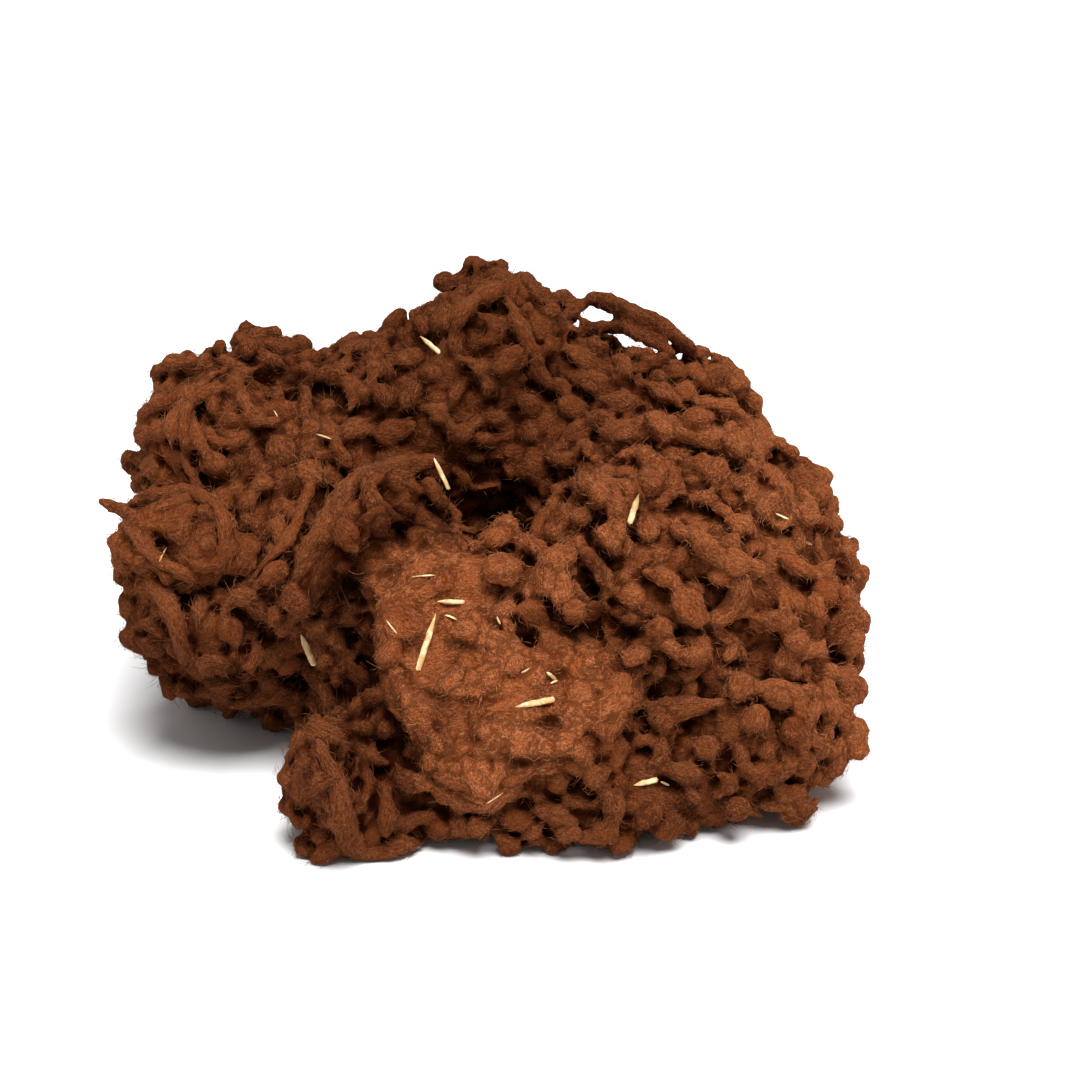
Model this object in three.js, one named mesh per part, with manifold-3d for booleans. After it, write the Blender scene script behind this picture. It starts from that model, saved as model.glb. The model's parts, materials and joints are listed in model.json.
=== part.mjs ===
// A loose heap of felted wool nepps. Carding leaves little balls (nepps) and rolled slubs of wool,
// which mat together. The heap is one matted mass of lobes with its nepps raised in its face, two
// folds of felt that lie against it, slubs and single nepps bedded on it, and flecks of straw
// caught in the wool. Millimetres, +Z up, front towards -Y, resting on Z = 0.
import * as THREE from "three";
import { mergeVertices } from "three/addons/utils/BufferGeometryUtils.js";
import Module from "manifold-3d";

const wasm = await Module();
wasm.setup();

// Driving dimensions
const PIECE_GAP = 0.55; // air left between two pieces that lie against each other
const LOBE_STEP = 4.3; // side of the triangles that the mass's face is made of
const FOLD_STEP = 3.4; // the same for a fold
const LOBE_BLEND = 10; // width over which neighbouring lobes grow together
const FACE_SWELL = 1.2; // how far a face swells and shrinks
const NEPP_PITCH = 9; // spacing of the nepps that are matted into a face
const NEPP_SPREAD = { least: 4.2, most: 6.2 }; // radius of a matted nepp at its foot
const NEPP_RISE = { least: 1.6, most: 4 }; // how far a matted nepp stands out of its face
const SLUB_SIDES = 7;
const SLUB_RINGS = 12;
const SLUB_TIP = 0.25; // how blunt a slub's ends are, less is blunter
const SLUB_SINK = 0.2; // share of its thickness that a slub is bedded in
const NEPP_SINK = 0.2; // the same for a single nepp
const STRAW_SIDES = 5;
const STRAW_TAPER = 0.55; // width of a straw's thin end against its thick one
const STRAW_FLATNESS = 0.6;
const SLOPE_STEP = 3; // distance over which the slope under a straw is taken
const GOLDEN_ANGLE = Math.PI * (3 - Math.sqrt(5));
const WORKSPACE = 400; // side of the block that stands for the space above the surface

// The eye that the small pieces are placed from: it looks down on the middle of the heap.
const MIDDLE = new THREE.Vector3(0, 0, 38);
const EYE_DISTANCE = 520;
const EYE_RISE = THREE.MathUtils.degToRad(22);

// Lobes of the matted mass and the hollows cut in it: middle and half sizes.
const LOBES = [
  { part: "left, low", at: [-56, -4, 31], half: [18, 18, 19] },
  { part: "left, crown", at: [-54, 16, 50], half: [19, 20, 18] },
  { part: "left, foot", at: [-50, 14, 14], half: [18, 18, 16] },
  { part: "right", at: [28, -6, 33], half: [27, 27, 27] },
  { part: "right, foot", at: [32, -12, 15], half: [23, 26, 17] },
  { part: "front roll", at: [5, -37, 8], half: [39, 11, 10], swing: 12 },
  { part: "front corner", at: [35, -30, 11], half: [10, 9, 11] },
  { part: "front foot", at: [-33, -43, 10], half: [8, 9, 14] },
  { part: "middle", at: [-26, -14, 30], half: [17, 16, 22] },
  { part: "saddle", at: [-29, 20, 46], half: [21, 22, 20] },
  { part: "peak", at: [-8, 26, 57], half: [18, 19, 24] },
  { part: "back, right", at: [16, 24, 48], half: [25, 22, 17] },
  { part: "back, foot", at: [0, 26, 20], half: [44, 28, 22] },
  { part: "underside", at: [2, 2, 9], half: [46, 36, 13] },
];
const HOLLOWS = [
  { part: "behind the flap", at: [-20, -28, 53], half: [6, 9, 6] },
  { part: "beside the flap", at: [14, -38, 38], half: [3, 8, 8] },
];

// Folds of felt that lie against the mass: middle, half sizes, lean back and swing in degrees.
const FOLDS = [
  { name: "front_flap", at: [-6, -37, 30], half: [23, 5, 21], lean: -34, swing: 4 },
  { name: "left_fold", at: [-62, -16, 43], half: [12, 5, 6], lean: 10, swing: -8 },
];

// Slubs that lie on the mass, across and up as seen from the eye: both ends, a point between them.
const SLUBS = [
  { part: "long rope", from: [-26, 8], by: [-37, -4], to: [-48, -19], thick: 6 },
  { part: "left strand", from: [-40, 15], by: [-46, -3], to: [-55, -12], thick: 4 },
  { part: "foot strand", from: [-38, -32], by: [-40, -41], to: [-35, -51], thick: 5 },
  { part: "right crown", from: [11, 18], by: [27, 19], to: [41, 14], thick: 6 },
  { part: "right curl", from: [8, 12], by: [13, 8], to: [14, -2], thick: 5.5 },
  { part: "beside the flap", from: [14, -21], by: [21, -18], to: [28, -23], thick: 4.5 },
  { part: "right arch", from: [34, -27], by: [45, -27], to: [47, -43], thick: 5 },
  { part: "back rim", from: [12, 33], by: [24, 31], to: [35, 25], thick: 4.5 },
  { part: "left crown", from: [-63, 26], by: [-61, 18], to: [-56, 11], thick: 4 },
];

// Single nepps, across and up as seen from the eye.
const NEPPS = [
  { seen: [50, 8], thick: 5 },
  { seen: [20, 10], thick: 5 },
  { seen: [35, -4], thick: 5.5 },
  { seen: [46, -18], thick: 5 },
  { seen: [35, -48], thick: 5 },
  { seen: [-8, -5], thick: 5 },
  { seen: [6, -13], thick: 5 },
  { seen: [-52, 34], thick: 4.5 },
  { seen: [-17, 46], thick: 4.5 },
  { seen: [-11, -51], thick: 4.5 },
];

// Flecks of straw, across and up as seen from the eye, turned from upright in degrees.
const STRAWS = [
  { seen: [-19, 11], turn: 0, long: 6.5, wide: 1.2 },
  { seen: [-20, -18], turn: 22, long: 9.6, wide: 1.4 },
  { seen: [-1, -29], turn: 84, long: 6.6, wide: 1.3 },
  { seen: [-16, -11], turn: 90, long: 4.5, wide: 1 },
  { seen: [-42, -20], turn: -20, long: 6, wide: 1.8 },
  { seen: [17, 6], turn: 15, long: 5, wide: 1.4 },
  { seen: [-20, 35], turn: -60, long: 5, wide: 1.2 },
  { seen: [19, -43], turn: 80, long: 4, wide: 1.2 },
];

const WOOL = { roughness: 0.96, metalness: 0 };
const STRAW = { roughness: 0.7, metalness: 0 };
const MASS_COLOUR = 0x6f3d25;
const SLUB_COLOUR = 0x7d452a;
const NEPP_COLOUR = 0x643521;
const STRAW_COLOUR = 0xd9b573;

const radians = THREE.MathUtils.degToRad;
const heap = new THREE.Group();

// A number from 0 to 1 that is always the same for the same seed.
function chance(seed) {
  const scattered = Math.sin(seed * 12.9898 + 4.1414) * 43758.5453;
  return scattered - Math.floor(scattered);
}

function between({ least, most }, share) {
  return THREE.MathUtils.lerp(least, most, share);
}

// A geometry with its corners shared between its triangles.
function welded(geometry) {
  geometry.deleteAttribute("normal");
  geometry.deleteAttribute("uv");
  return mergeVertices(geometry, 1e-5);
}

// A closed, welded geometry as a solid that can be joined and cut.
function solidOf(geometry) {
  const vertProperties = geometry.getAttribute("position").array;
  const triVerts = new Uint32Array(geometry.index.array);
  return new wasm.Manifold(new wasm.Mesh({ numProp: 3, vertProperties, triVerts }));
}

function geometryOf(solid) {
  const { vertProperties, triVerts } = solid.getMesh();
  const geometry = new THREE.BufferGeometry();
  geometry.setAttribute("position", new THREE.BufferAttribute(vertProperties, 3));
  geometry.setIndex(new THREE.BufferAttribute(triVerts, 1));
  geometry.computeVertexNormals();
  return geometry;
}

// A geometry with every corner moved to where a function puts it.
function reshaped(geometry, move) {
  const points = geometry.getAttribute("position");
  for (let i = 0; i < points.count; i += 1) {
    const { x, y, z } = move(new THREE.Vector3().fromBufferAttribute(points, i));
    points.setXYZ(i, x, y, z);
  }
  return geometry;
}

// Distance from a point to an ellipsoid's face, less than nothing inside it.
function ellipsoidDistance(point, { at, half }) {
  const x = (point.x - at[0]) / half[0];
  const y = (point.y - at[1]) / half[1];
  const z = (point.z - at[2]) / half[2];
  const span = Math.hypot(x, y, z);
  const slope = Math.hypot(x / half[0], y / half[1], z / half[2]);
  return slope > 0 ? (span * (span - 1)) / slope : -Math.min(...half);
}

// The lesser of two distances, rounded over a width where they are alike.
function softLeast(a, b, width) {
  const share = Math.max(width - Math.abs(a - b), 0) / width;
  return Math.min(a, b) - (share * share * width) / 4;
}

// How far wool fills the crease between the lobes at a point on one of them.
function filling(point) {
  const depth = LOBES.map((lobe) => ellipsoidDistance(point, lobe)).reduce((a, b) =>
    softLeast(a, b, LOBE_BLEND),
  );
  return Math.min(-depth, LOBE_BLEND / 3);
}

// Slow swelling of the felt, so that no lobe is an even egg.
function swelling({ x, y, z }) {
  const slow = Math.sin(0.11 * x + 0.07 * z + 1) * Math.cos(0.13 * y - 0.05 * x);
  const quick = Math.sin(0.23 * y + 0.19 * x) * Math.cos(0.21 * z + 0.1 * y + 2);
  return FACE_SWELL * (slow + 0.8 * quick);
}

function ellipsoidArea([a, b, c]) {
  const power = 1.6075;
  const mean = ((a * b) ** power + (a * c) ** power + (b * c) ** power) / 3;
  return 4 * Math.PI * mean ** (1 / power);
}

// Directions spread over a sphere along a golden spiral, a little shaken.
function spreadDirections(count, seed) {
  return Array.from({ length: count }, (_, i) => {
    const height = 1 - (2 * i + 2 * chance(seed + 1.3 * i)) / count;
    const ring = Math.sqrt(1 - height * height);
    const angle = i * GOLDEN_ANGLE + chance(seed + 5.9 * i);
    return new THREE.Vector3(ring * Math.cos(angle), ring * Math.sin(angle), height);
  });
}

// How far nepps raise a face at a point.
function riseAt(point, nepps) {
  return nepps.reduce((highest, { at, spread, rise }) => {
    const share = point.distanceTo(at) / spread;
    return share < 1 ? Math.max(highest, rise * Math.sqrt(1 - share * share)) : highest;
  }, 0);
}

// An ellipsoid of felt with nepps raised in its face, grown outwards by a margin.
function feltSolid({ at, half, lean = 0, swing = 0 }, seed, { step, fill, grow }) {
  const turn = new THREE.Euler(radians(lean), 0, radians(swing), "ZYX");
  const place = new THREE.Matrix4().compose(
    new THREE.Vector3(...at),
    new THREE.Quaternion().setFromEuler(turn),
    new THREE.Vector3(...half),
  );
  const outwards = new THREE.Matrix3().getNormalMatrix(place);
  const faces = ellipsoidArea(half) / (step ** 2 * Math.sqrt(3) / 4);
  const ball = welded(new THREE.IcosahedronGeometry(1, Math.round(Math.sqrt(faces / 20) - 1)));
  const count = Math.round(ellipsoidArea(half) / NEPP_PITCH ** 2);
  const nepps = spreadDirections(count, seed).map((direction, i) => ({
    at: direction.applyMatrix4(place),
    spread: between(NEPP_SPREAD, chance(seed + 3.1 * i)),
    rise: between(NEPP_RISE, chance(seed + 7.7 * i)),
  }));
  return solidOf(
    reshaped(ball, (corner) => {
      const face = corner.clone().applyMatrix4(place);
      const out = corner.applyNormalMatrix(outwards).normalize();
      const raised = riseAt(face, nepps) + swelling(face) + fill(face) + grow;
      return face.addScaledVector(out, raised);
    }),
  );
}

// The matted mass: its lobes joined, its hollows cut.
function massSolid() {
  const lobe = { step: LOBE_STEP, fill: filling, grow: 0 };
  const hollow = { step: LOBE_STEP, fill: () => 0, grow: 0 };
  const lobes = LOBES.map((row, i) => feltSolid(row, i, lobe));
  const hollows = HOLLOWS.map((row, i) => feltSolid(row, i, hollow));
  return wasm.Manifold.union(lobes).subtract(wasm.Manifold.union(hollows));
}

function foldSolid(fold, seed, grow) {
  return feltSolid(fold, seed, { step: FOLD_STEP, fill: () => 0, grow });
}

// Where the eye's line of sight first meets the wool, and the way back to the eye.
function sight([across, up], wool) {
  const level = new THREE.Vector3(0, Math.sin(EYE_RISE), Math.cos(EYE_RISE));
  const aim = MIDDLE.clone().addScaledVector(level, up);
  aim.x += across;
  const back = new THREE.Vector3(0, -Math.cos(EYE_RISE), Math.sin(EYE_RISE));
  const eye = MIDDLE.clone().addScaledVector(back, EYE_DISTANCE);
  const ray = new THREE.Raycaster(eye, aim.sub(eye).normalize());
  return { at: ray.intersectObjects(wool)[0].point, back: ray.ray.direction.clone().negate() };
}

// A rolled strand along a curve over the wool.
function slubSolid({ from, by, to, thick }, wool, grow) {
  const path = [from, by, to].map((seen) => {
    const { at, back } = sight(seen, wool);
    return at.addScaledVector(back, thick * (0.5 - SLUB_SINK));
  });
  const curve = new THREE.CatmullRomCurve3(path);
  const frames = curve.computeFrenetFrames(SLUB_RINGS);
  const ball = welded(new THREE.SphereGeometry(1, SLUB_SIDES, SLUB_RINGS));
  return solidOf(
    reshaped(ball, ({ x, y, z }) => {
      const ring = Math.round((SLUB_RINGS * Math.acos(THREE.MathUtils.clamp(y, -1, 1))) / Math.PI);
      const share = ring / SLUB_RINGS;
      const isTip = ring % SLUB_RINGS === 0;
      const radius = (thick / 2) * Math.sin(Math.PI * share) ** SLUB_TIP + grow;
      const edge = isTip ? 0 : radius / Math.hypot(x, z);
      return curve
        .getPointAt(share)
        .addScaledVector(frames.normals[ring], x * edge)
        .addScaledVector(frames.binormals[ring], z * edge)
        .addScaledVector(frames.tangents[ring], isTip ? grow * (2 * share - 1) : 0);
    }),
  );
}

function neppSolid({ seen, thick }, wool, grow) {
  const { at, back } = sight(seen, wool);
  const { x, y, z } = at.addScaledVector(back, thick * (0.5 - NEPP_SINK));
  return solidOf(welded(new THREE.IcosahedronGeometry(thick / 2 + grow, 1)).translate(x, y, z));
}

// A flat, tapered stem on the slope of the wool under it, raised half way to face the eye.
function strawSolid({ seen, turn, long, wide }, wool, grow) {
  const [across, up] = seen;
  const { at, back } = sight(seen, wool);
  const step = (dx, dz) => sight([across + dx, up + dz], wool).at;
  const aside = step(SLOPE_STEP, 0).sub(step(-SLOPE_STEP, 0));
  const upright = step(0, SLOPE_STEP).sub(step(0, -SLOPE_STEP));
  const out = aside.cross(upright).normalize().add(back).normalize();
  const right = new THREE.Vector3(0, 0, 1).cross(out).normalize();
  const along = out.clone().cross(right).multiplyScalar(Math.cos(radians(turn)));
  along.addScaledVector(right, Math.sin(radians(turn)));
  const place = new THREE.Matrix4().makeBasis(along.clone().cross(out), along, out);
  const flat = new THREE.Matrix4().makeScale(1, 1, STRAW_FLATNESS);
  const { x, y, z } = at.addScaledVector(out, (wide * STRAW_FLATNESS) / 2);
  const thin = (wide / 2) * STRAW_TAPER + grow / STRAW_FLATNESS;
  const wider = wide / 2 + grow / STRAW_FLATNESS;
  const stem = new THREE.CylinderGeometry(thin, wider, long + 2 * grow, STRAW_SIDES);
  return solidOf(welded(stem.applyMatrix4(place.multiply(flat)).translate(x, y, z)));
}

// The largest body of a solid, without the crumbs that a cut leaves.
function largestBody(solid) {
  return solid.decompose().sort((a, b) => b.volume() - a.volume())[0];
}

// One piece: its solid alone, and the room it takes up among the pieces that give way to it.
function piece(name, solid, colour, finish) {
  return { name, whole: solid(0), room: solid(PIECE_GAP), colour, finish };
}

function meshes(pieces) {
  return pieces.map(({ whole }) => new THREE.Mesh(geometryOf(whole)));
}

const mass = piece("matted_mass", massSolid, MASS_COLOUR, WOOL);
const folds = FOLDS.map((fold, i) =>
  piece(fold.name, (grow) => foldSolid(fold, i, grow), MASS_COLOUR, WOOL),
);
const felt = meshes([mass, ...folds]);
const slubs = SLUBS.map((slub, i) =>
  piece(`slub_${i + 1}`, (grow) => slubSolid(slub, felt, grow), SLUB_COLOUR, WOOL),
);
const wool = [...felt, ...meshes(slubs)];
const nepps = NEPPS.map((nepp, i) =>
  piece(`nepp_${i + 1}`, (grow) => neppSolid(nepp, wool, grow), NEPP_COLOUR, WOOL),
);
const straws = STRAWS.map((straw, i) =>
  piece(`straw_${i + 1}`, (grow) => strawSolid(straw, wool, grow), STRAW_COLOUR, STRAW),
);

const aboveSurface = solidOf(
  welded(new THREE.BoxGeometry(WORKSPACE, WORKSPACE, WORKSPACE).translate(0, 0, WORKSPACE / 2)),
);

// Each piece gives way to the ones before it and ends at the surface.
const taken = [];
for (const { name, whole, room, colour, finish } of [straws, nepps, slubs, folds, mass].flat()) {
  const free = taken.length ? whole.subtract(wasm.Manifold.union(taken)) : whole;
  const body = largestBody(free.intersect(aboveSurface));
  const material = new THREE.MeshStandardMaterial({ color: colour, ...finish });
  const mesh = new THREE.Mesh(geometryOf(body), material);
  mesh.name = name;
  heap.add(mesh);
  taken.push(room);
}

// The heap stands with the middle of its footprint at the origin.
const reach = new THREE.Box3().setFromObject(heap);
const centre = reach.getCenter(new THREE.Vector3());
heap.position.set(-centre.x, -centre.y, 0);

export default heap;
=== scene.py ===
"""Looks of a heap of merino wool nepps: felted skins, lumps, strands, fuzz and flecks of straw.

Arrays and sizes are in millimetres, and meshes are written in metres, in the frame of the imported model.
"""

import json
import logging
import math
from dataclasses import dataclass, field, replace
from enum import Enum

import bpy
import numpy as np
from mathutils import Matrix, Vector, kdtree, noise
from mathutils.bvhtree import BVHTree

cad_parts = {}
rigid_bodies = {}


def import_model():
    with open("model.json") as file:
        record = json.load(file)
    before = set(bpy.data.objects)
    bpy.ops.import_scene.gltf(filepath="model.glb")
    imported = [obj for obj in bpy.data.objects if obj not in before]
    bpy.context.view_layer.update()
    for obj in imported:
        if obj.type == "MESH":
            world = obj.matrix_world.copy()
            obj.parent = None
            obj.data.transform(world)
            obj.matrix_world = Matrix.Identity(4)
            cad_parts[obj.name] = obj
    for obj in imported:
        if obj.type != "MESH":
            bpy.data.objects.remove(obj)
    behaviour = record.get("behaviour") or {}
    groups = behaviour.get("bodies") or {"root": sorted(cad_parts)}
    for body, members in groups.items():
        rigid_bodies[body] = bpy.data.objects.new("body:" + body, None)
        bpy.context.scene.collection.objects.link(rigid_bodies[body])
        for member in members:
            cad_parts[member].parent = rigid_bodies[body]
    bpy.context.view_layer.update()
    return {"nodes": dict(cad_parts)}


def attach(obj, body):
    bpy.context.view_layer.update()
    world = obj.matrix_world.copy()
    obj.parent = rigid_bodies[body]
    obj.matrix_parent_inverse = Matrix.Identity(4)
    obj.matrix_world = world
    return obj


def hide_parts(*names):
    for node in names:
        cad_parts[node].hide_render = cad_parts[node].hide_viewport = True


LOG = logging.getLogger("wool_heap")
MM = 0.001
PICTURE_SIDE = 1080
FLOOR_CLEARANCE = 0.05
CUTTER_REACH = 200.0  # further than the heap reaches from its middle
CUT_FACING, CUT_NEARNESS = 0.9999, 0.01  # a face that faces and lies at a cut like this was made by it
MIDDLE_TONE = 0.5
COARSE_SWELLING = 3.9  # size of the larger swellings of a lump
FINE_SWELLING = 1.5  # and of the smaller ones
PHASES = 6.3  # waves start anywhere in about one full turn
GRAIN_SHIFT = 300  # how far apart the grains of two lumps may be
SIDE_RAYS, SIDE_TILT, SIDE_TURN = 5, 0.8, 1.257  # rays that look for free space round a normal, in radians
FIBRE_STRETCH = 0.2  # streaks run this much slower along the fibres than across
STREAK_WANDER, MATTED_WANDER = 1.4, 2.0  # distortion of the streaks and of the matted noise
SLUB_NODES = tuple(f"slub_{k}" for k in range(1, 10))
NEPP_NODES = tuple(f"nepp_{k}" for k in range(1, 11))
STRAW_NODES = tuple(f"straw_{k}" for k in range(1, 9))

Colour = tuple[float, float, float]
Spot = tuple[float, float, float]
Pixel = tuple[float, float]


class Slot(Enum):
    """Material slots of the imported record."""

    MATTED = "matted_wool"
    SLUB = "slub_wool"
    NEPP = "nepp_wool"
    STRAW = "straw"


class Relief(Enum):
    """How the felt of a body lies."""

    LUMPY = "lumpy"
    WRINKLED = "wrinkled"
    PLAIN = "plain"


def linked(name: str, mesh: bpy.types.Mesh) -> bpy.types.Object:
    """Puts a mesh into the scene as the only selected object.

    Args:
        name: The piece's name.
        mesh: Its mesh, in metres.

    Returns:
        The new object, active and selected.
    """
    piece = bpy.data.objects.new(name, mesh)
    bpy.context.scene.collection.objects.link(piece)
    bpy.ops.object.select_all(action="DESELECT")
    piece.select_set(True)
    bpy.context.view_layer.objects.active = piece
    return piece


def applied(piece: bpy.types.Object, kind: str, **settings: object) -> None:
    """Adds a modifier to the active piece and applies it.

    Args:
        piece: The active object.
        kind: Blender's name of the modifier's kind.
        settings: Values set on the modifier.
    """
    modifier = piece.modifiers.new(kind.lower(), kind)
    for name, value in settings.items():
        setattr(modifier, name, value)
    bpy.ops.object.modifier_apply(modifier=modifier.name)


def merged_copy(name: str, node: bpy.types.Object) -> bpy.types.Object:
    """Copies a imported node's loose triangles into a new closed mesh.

    Args:
        name: The new piece's name.
        node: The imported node, which stays as it is.

    Returns:
        The merged copy, active and selected.
    """
    piece = linked(name, node.data.copy())
    piece.data.materials.clear()
    bpy.ops.object.mode_set(mode="EDIT")
    bpy.ops.mesh.select_all(action="SELECT")
    bpy.ops.mesh.remove_doubles(threshold=0.00001)
    bpy.ops.mesh.customdata_custom_splitnormals_clear()
    bpy.ops.object.mode_set(mode="OBJECT")
    return piece


def read(rows: bpy.types.bpy_prop_collection, name: str) -> np.ndarray:
    """Reads one vector of every row, such as the places of a mesh's vertices.

    Args:
        rows: Vertices, triangles or the like.
        name: What is read of each.

    Returns:
        One vector a row.
    """
    values = np.zeros(len(rows) * 3)
    rows.foreach_get(name, values)
    return values.reshape(-1, 3)


def eased(rows: np.ndarray, rounds: int) -> np.ndarray:
    """Evens out the rows of a path between its ends.

    Args:
        rows: Points or directions along the path.
        rounds: How many times they are evened out.

    Returns:
        The evened rows.
    """
    even = rows.copy()
    for _ in range(rounds):
        even[1:-1] = (even[:-2] + 2 * even[1:-1] + even[2:]) / 4
    return even


def unit(rows: np.ndarray) -> np.ndarray:
    """Scales each vector to a length of one."""
    return rows / np.maximum(np.linalg.norm(rows, axis=-1, keepdims=True), 1e-9)


def cell_domes(points: np.ndarray, size: float) -> np.ndarray:
    """Domes of one cell size, one at each middle and near nought at the seams between cells."""
    return np.array([1 - 1.6 * noise.voronoi(Vector(p) / size)[0][0] for p in points.tolist()])


def cloud(points: np.ndarray, size: float) -> np.ndarray:
    """Smooth noise of one feature size, from about minus one to one."""
    return np.array([noise.noise(Vector(p) / size) for p in points.tolist()])


@dataclass
class Facets:
    """Points and triangles of joined shapes, with each point's tone, openness, fibre run and grain.

    The grain is a place measured along and across the fibres of the lump that the point belongs to.
    """

    points: np.ndarray
    faces: np.ndarray
    # After dressing, tones carry a painted highlight on lump tops and opens carry painted shade in creases
    # and crevices.
    tones: np.ndarray
    opens: np.ndarray = field(default_factory=lambda: np.ones(1))
    runs: np.ndarray = field(default_factory=lambda: np.zeros((1, 3)))
    grain: np.ndarray = field(default_factory=lambda: np.zeros((1, 3)))

    @classmethod
    def of_object(cls, piece: bpy.types.Object) -> "Facets":
        """Reads an object's mesh.

        Args:
            piece: The object, at the origin.

        Returns:
            Its points and triangles.
        """
        mesh = piece.data
        mesh.calc_loop_triangles()
        points = read(mesh.vertices, "co") / MM
        faces = np.zeros(len(mesh.loop_triangles) * 3, dtype=np.int32)
        mesh.loop_triangles.foreach_get("vertices", faces)
        return cls(points, faces.reshape(-1, 3), np.full(len(points), MIDDLE_TONE))

    @classmethod
    def joined(cls, parts: list["Facets"]) -> "Facets":
        """Joins several into one.

        Args:
            parts: What is joined.

        Returns:
            One set of points and triangles.
        """
        starts = np.cumsum([0] + [len(part.points) for part in parts[:-1]])
        return cls(
            np.concatenate([part.points for part in parts]),
            np.concatenate([part.faces + start for part, start in zip(parts, starts)]),
            np.concatenate([part.tones for part in parts]),
            np.concatenate([np.broadcast_to(part.opens, len(part.points)) for part in parts]),
            np.concatenate([np.broadcast_to(part.runs, part.points.shape) for part in parts]),
            np.concatenate([np.broadcast_to(part.grain, part.points.shape) for part in parts]),
        )

    @classmethod
    def repeated(
        cls, points: np.ndarray, faces: np.ndarray, tones: np.ndarray, runs: np.ndarray, grain: np.ndarray
    ) -> "Facets":
        """Joins many shapes that have the same triangles.

        Args:
            points: Points of each shape, shapes by points by 3.
            faces: The triangles of one shape.
            tones: One tone a shape.
            runs: The way the fibres run, one a shape or one a point.
            grain: Places along and across the fibres, one a point.

        Returns:
            One set of points and triangles.
        """
        count, each = points.shape[:2]
        starts = np.arange(count)[:, None, None] * each
        lying = np.broadcast_to(runs, points.shape).reshape(-1, 3)
        rows = (faces[None] + starts).reshape(-1, 3)
        tones = np.repeat(tones, each)
        return cls(points.reshape(-1, 3), rows, tones, runs=lying, grain=grain.reshape(-1, 3))

    def grain_at(self, rows: np.ndarray, spots: np.ndarray) -> np.ndarray:
        """Gives the grain at spots on some triangles.

        Args:
            rows: The triangle of each spot.
            spots: The spots.

        Returns:
            Places along and across the fibres.
        """
        a, b, c = (self.points[rows[:, k]] for k in range(3))
        first, second, inside = b - a, c - a, spots - a
        pairs = ((first, first), (first, second), (second, second), (inside, first), (inside, second))
        long, both, wide, along, across = (np.einsum("nd,nd->n", *pair) for pair in pairs)
        whole = np.maximum(long * wide - both**2, 1e-9)
        share = np.stack([wide * along - both * across, long * across - both * along], axis=1)
        share = share / whole[:, None]
        share = np.concatenate([1 - share.sum(axis=1, keepdims=True), share], axis=1)
        return np.einsum("nk,nkd->nd", share, self.grain[rows])

    def normals(self) -> np.ndarray:
        """Gives each point's normal, from the triangles that meet there.

        Returns:
            One normal a point, of length one.
        """
        a, b, c = (self.points[self.faces[:, k]] for k in range(3))
        flat = np.cross(b - a, c - a)
        total = np.zeros_like(self.points)
        for k in range(3):
            np.add.at(total, self.faces[:, k], flat)
        return unit(total)

    def piece(self, name: str) -> bpy.types.Object:
        """Makes the mesh object of these triangles.

        Args:
            name: The piece's name.

        Returns:
            The object, smooth shaded, with its tones and openness as attributes.
        """
        points = self.points.copy()
        points[:, 2] = np.maximum(points[:, 2], FLOOR_CLEARANCE)
        mesh = bpy.data.meshes.new(name)
        mesh.vertices.add(len(points))
        mesh.vertices.foreach_set("co", (points * MM).ravel())
        mesh.loops.add(self.faces.size)
        mesh.loops.foreach_set("vertex_index", self.faces.ravel())
        mesh.polygons.add(len(self.faces))
        mesh.polygons.foreach_set("loop_start", np.arange(0, self.faces.size, 3))
        mesh.update(calc_edges=True)
        mesh.validate()
        mesh.shade_smooth()
        self.mark(mesh)
        return linked(name, mesh)

    def mark(self, mesh: bpy.types.Mesh) -> None:
        """Writes the tones and the openness, which carry painted highlights and painted shade, and each
        zone's painted light to a mesh with the same points.

        Args:
            mesh: The mesh.
        """
        opens = np.broadcast_to(self.opens, len(self.points))
        for name, values in (("tone", self.tones), ("open", opens), ("light", lightness(self.points))):
            mesh.attributes.new(name, "FLOAT", "POINT").data.foreach_set("value", values.astype(np.float32))
        grain = (self.grain if len(self.grain) > 1 else self.points) * MM
        mesh.attributes.new("grain", "FLOAT_VECTOR", "POINT").data.foreach_set("vector", grain.ravel())


def roughened(facets: Facets, coarse: float, fine: float) -> Facets:
    """Makes lumps uneven.

    Args:
        facets: The lumps.
        coarse: How far swellings of about four millimetres stand.
        fine: How far swellings of about a millimetre and a half stand.

    Returns:
        The same triangles on moved points.
    """
    rise = coarse * cloud(facets.points, COARSE_SWELLING) + fine * cloud(facets.points, FINE_SWELLING)
    return replace(facets, points=facets.points + facets.normals() * rise[:, None])


def standing(facets: Facets, rounds: int) -> np.ndarray:
    """Measures how far each point stands out of the face round it.

    Args:
        facets: A closed skin.
        rounds: How many times the face is evened out, more reaches further.

    Returns:
        Millimetres, less than nought in a crease.
    """
    ends = np.concatenate([facets.faces[:, (0, 1)], facets.faces[:, (1, 2)], facets.faces[:, (2, 0)]])
    total = len(facets.points)
    count = np.maximum(np.bincount(ends[:, 0], minlength=total), 1)
    even = facets.points
    for _ in range(rounds):
        sums = [np.bincount(ends[:, 0], even[ends[:, 1], k], total) for k in range(3)]
        even = np.stack(sums, axis=1) / count[:, None]
    return np.einsum("nd,nd->n", facets.points - even, facets.normals())


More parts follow.
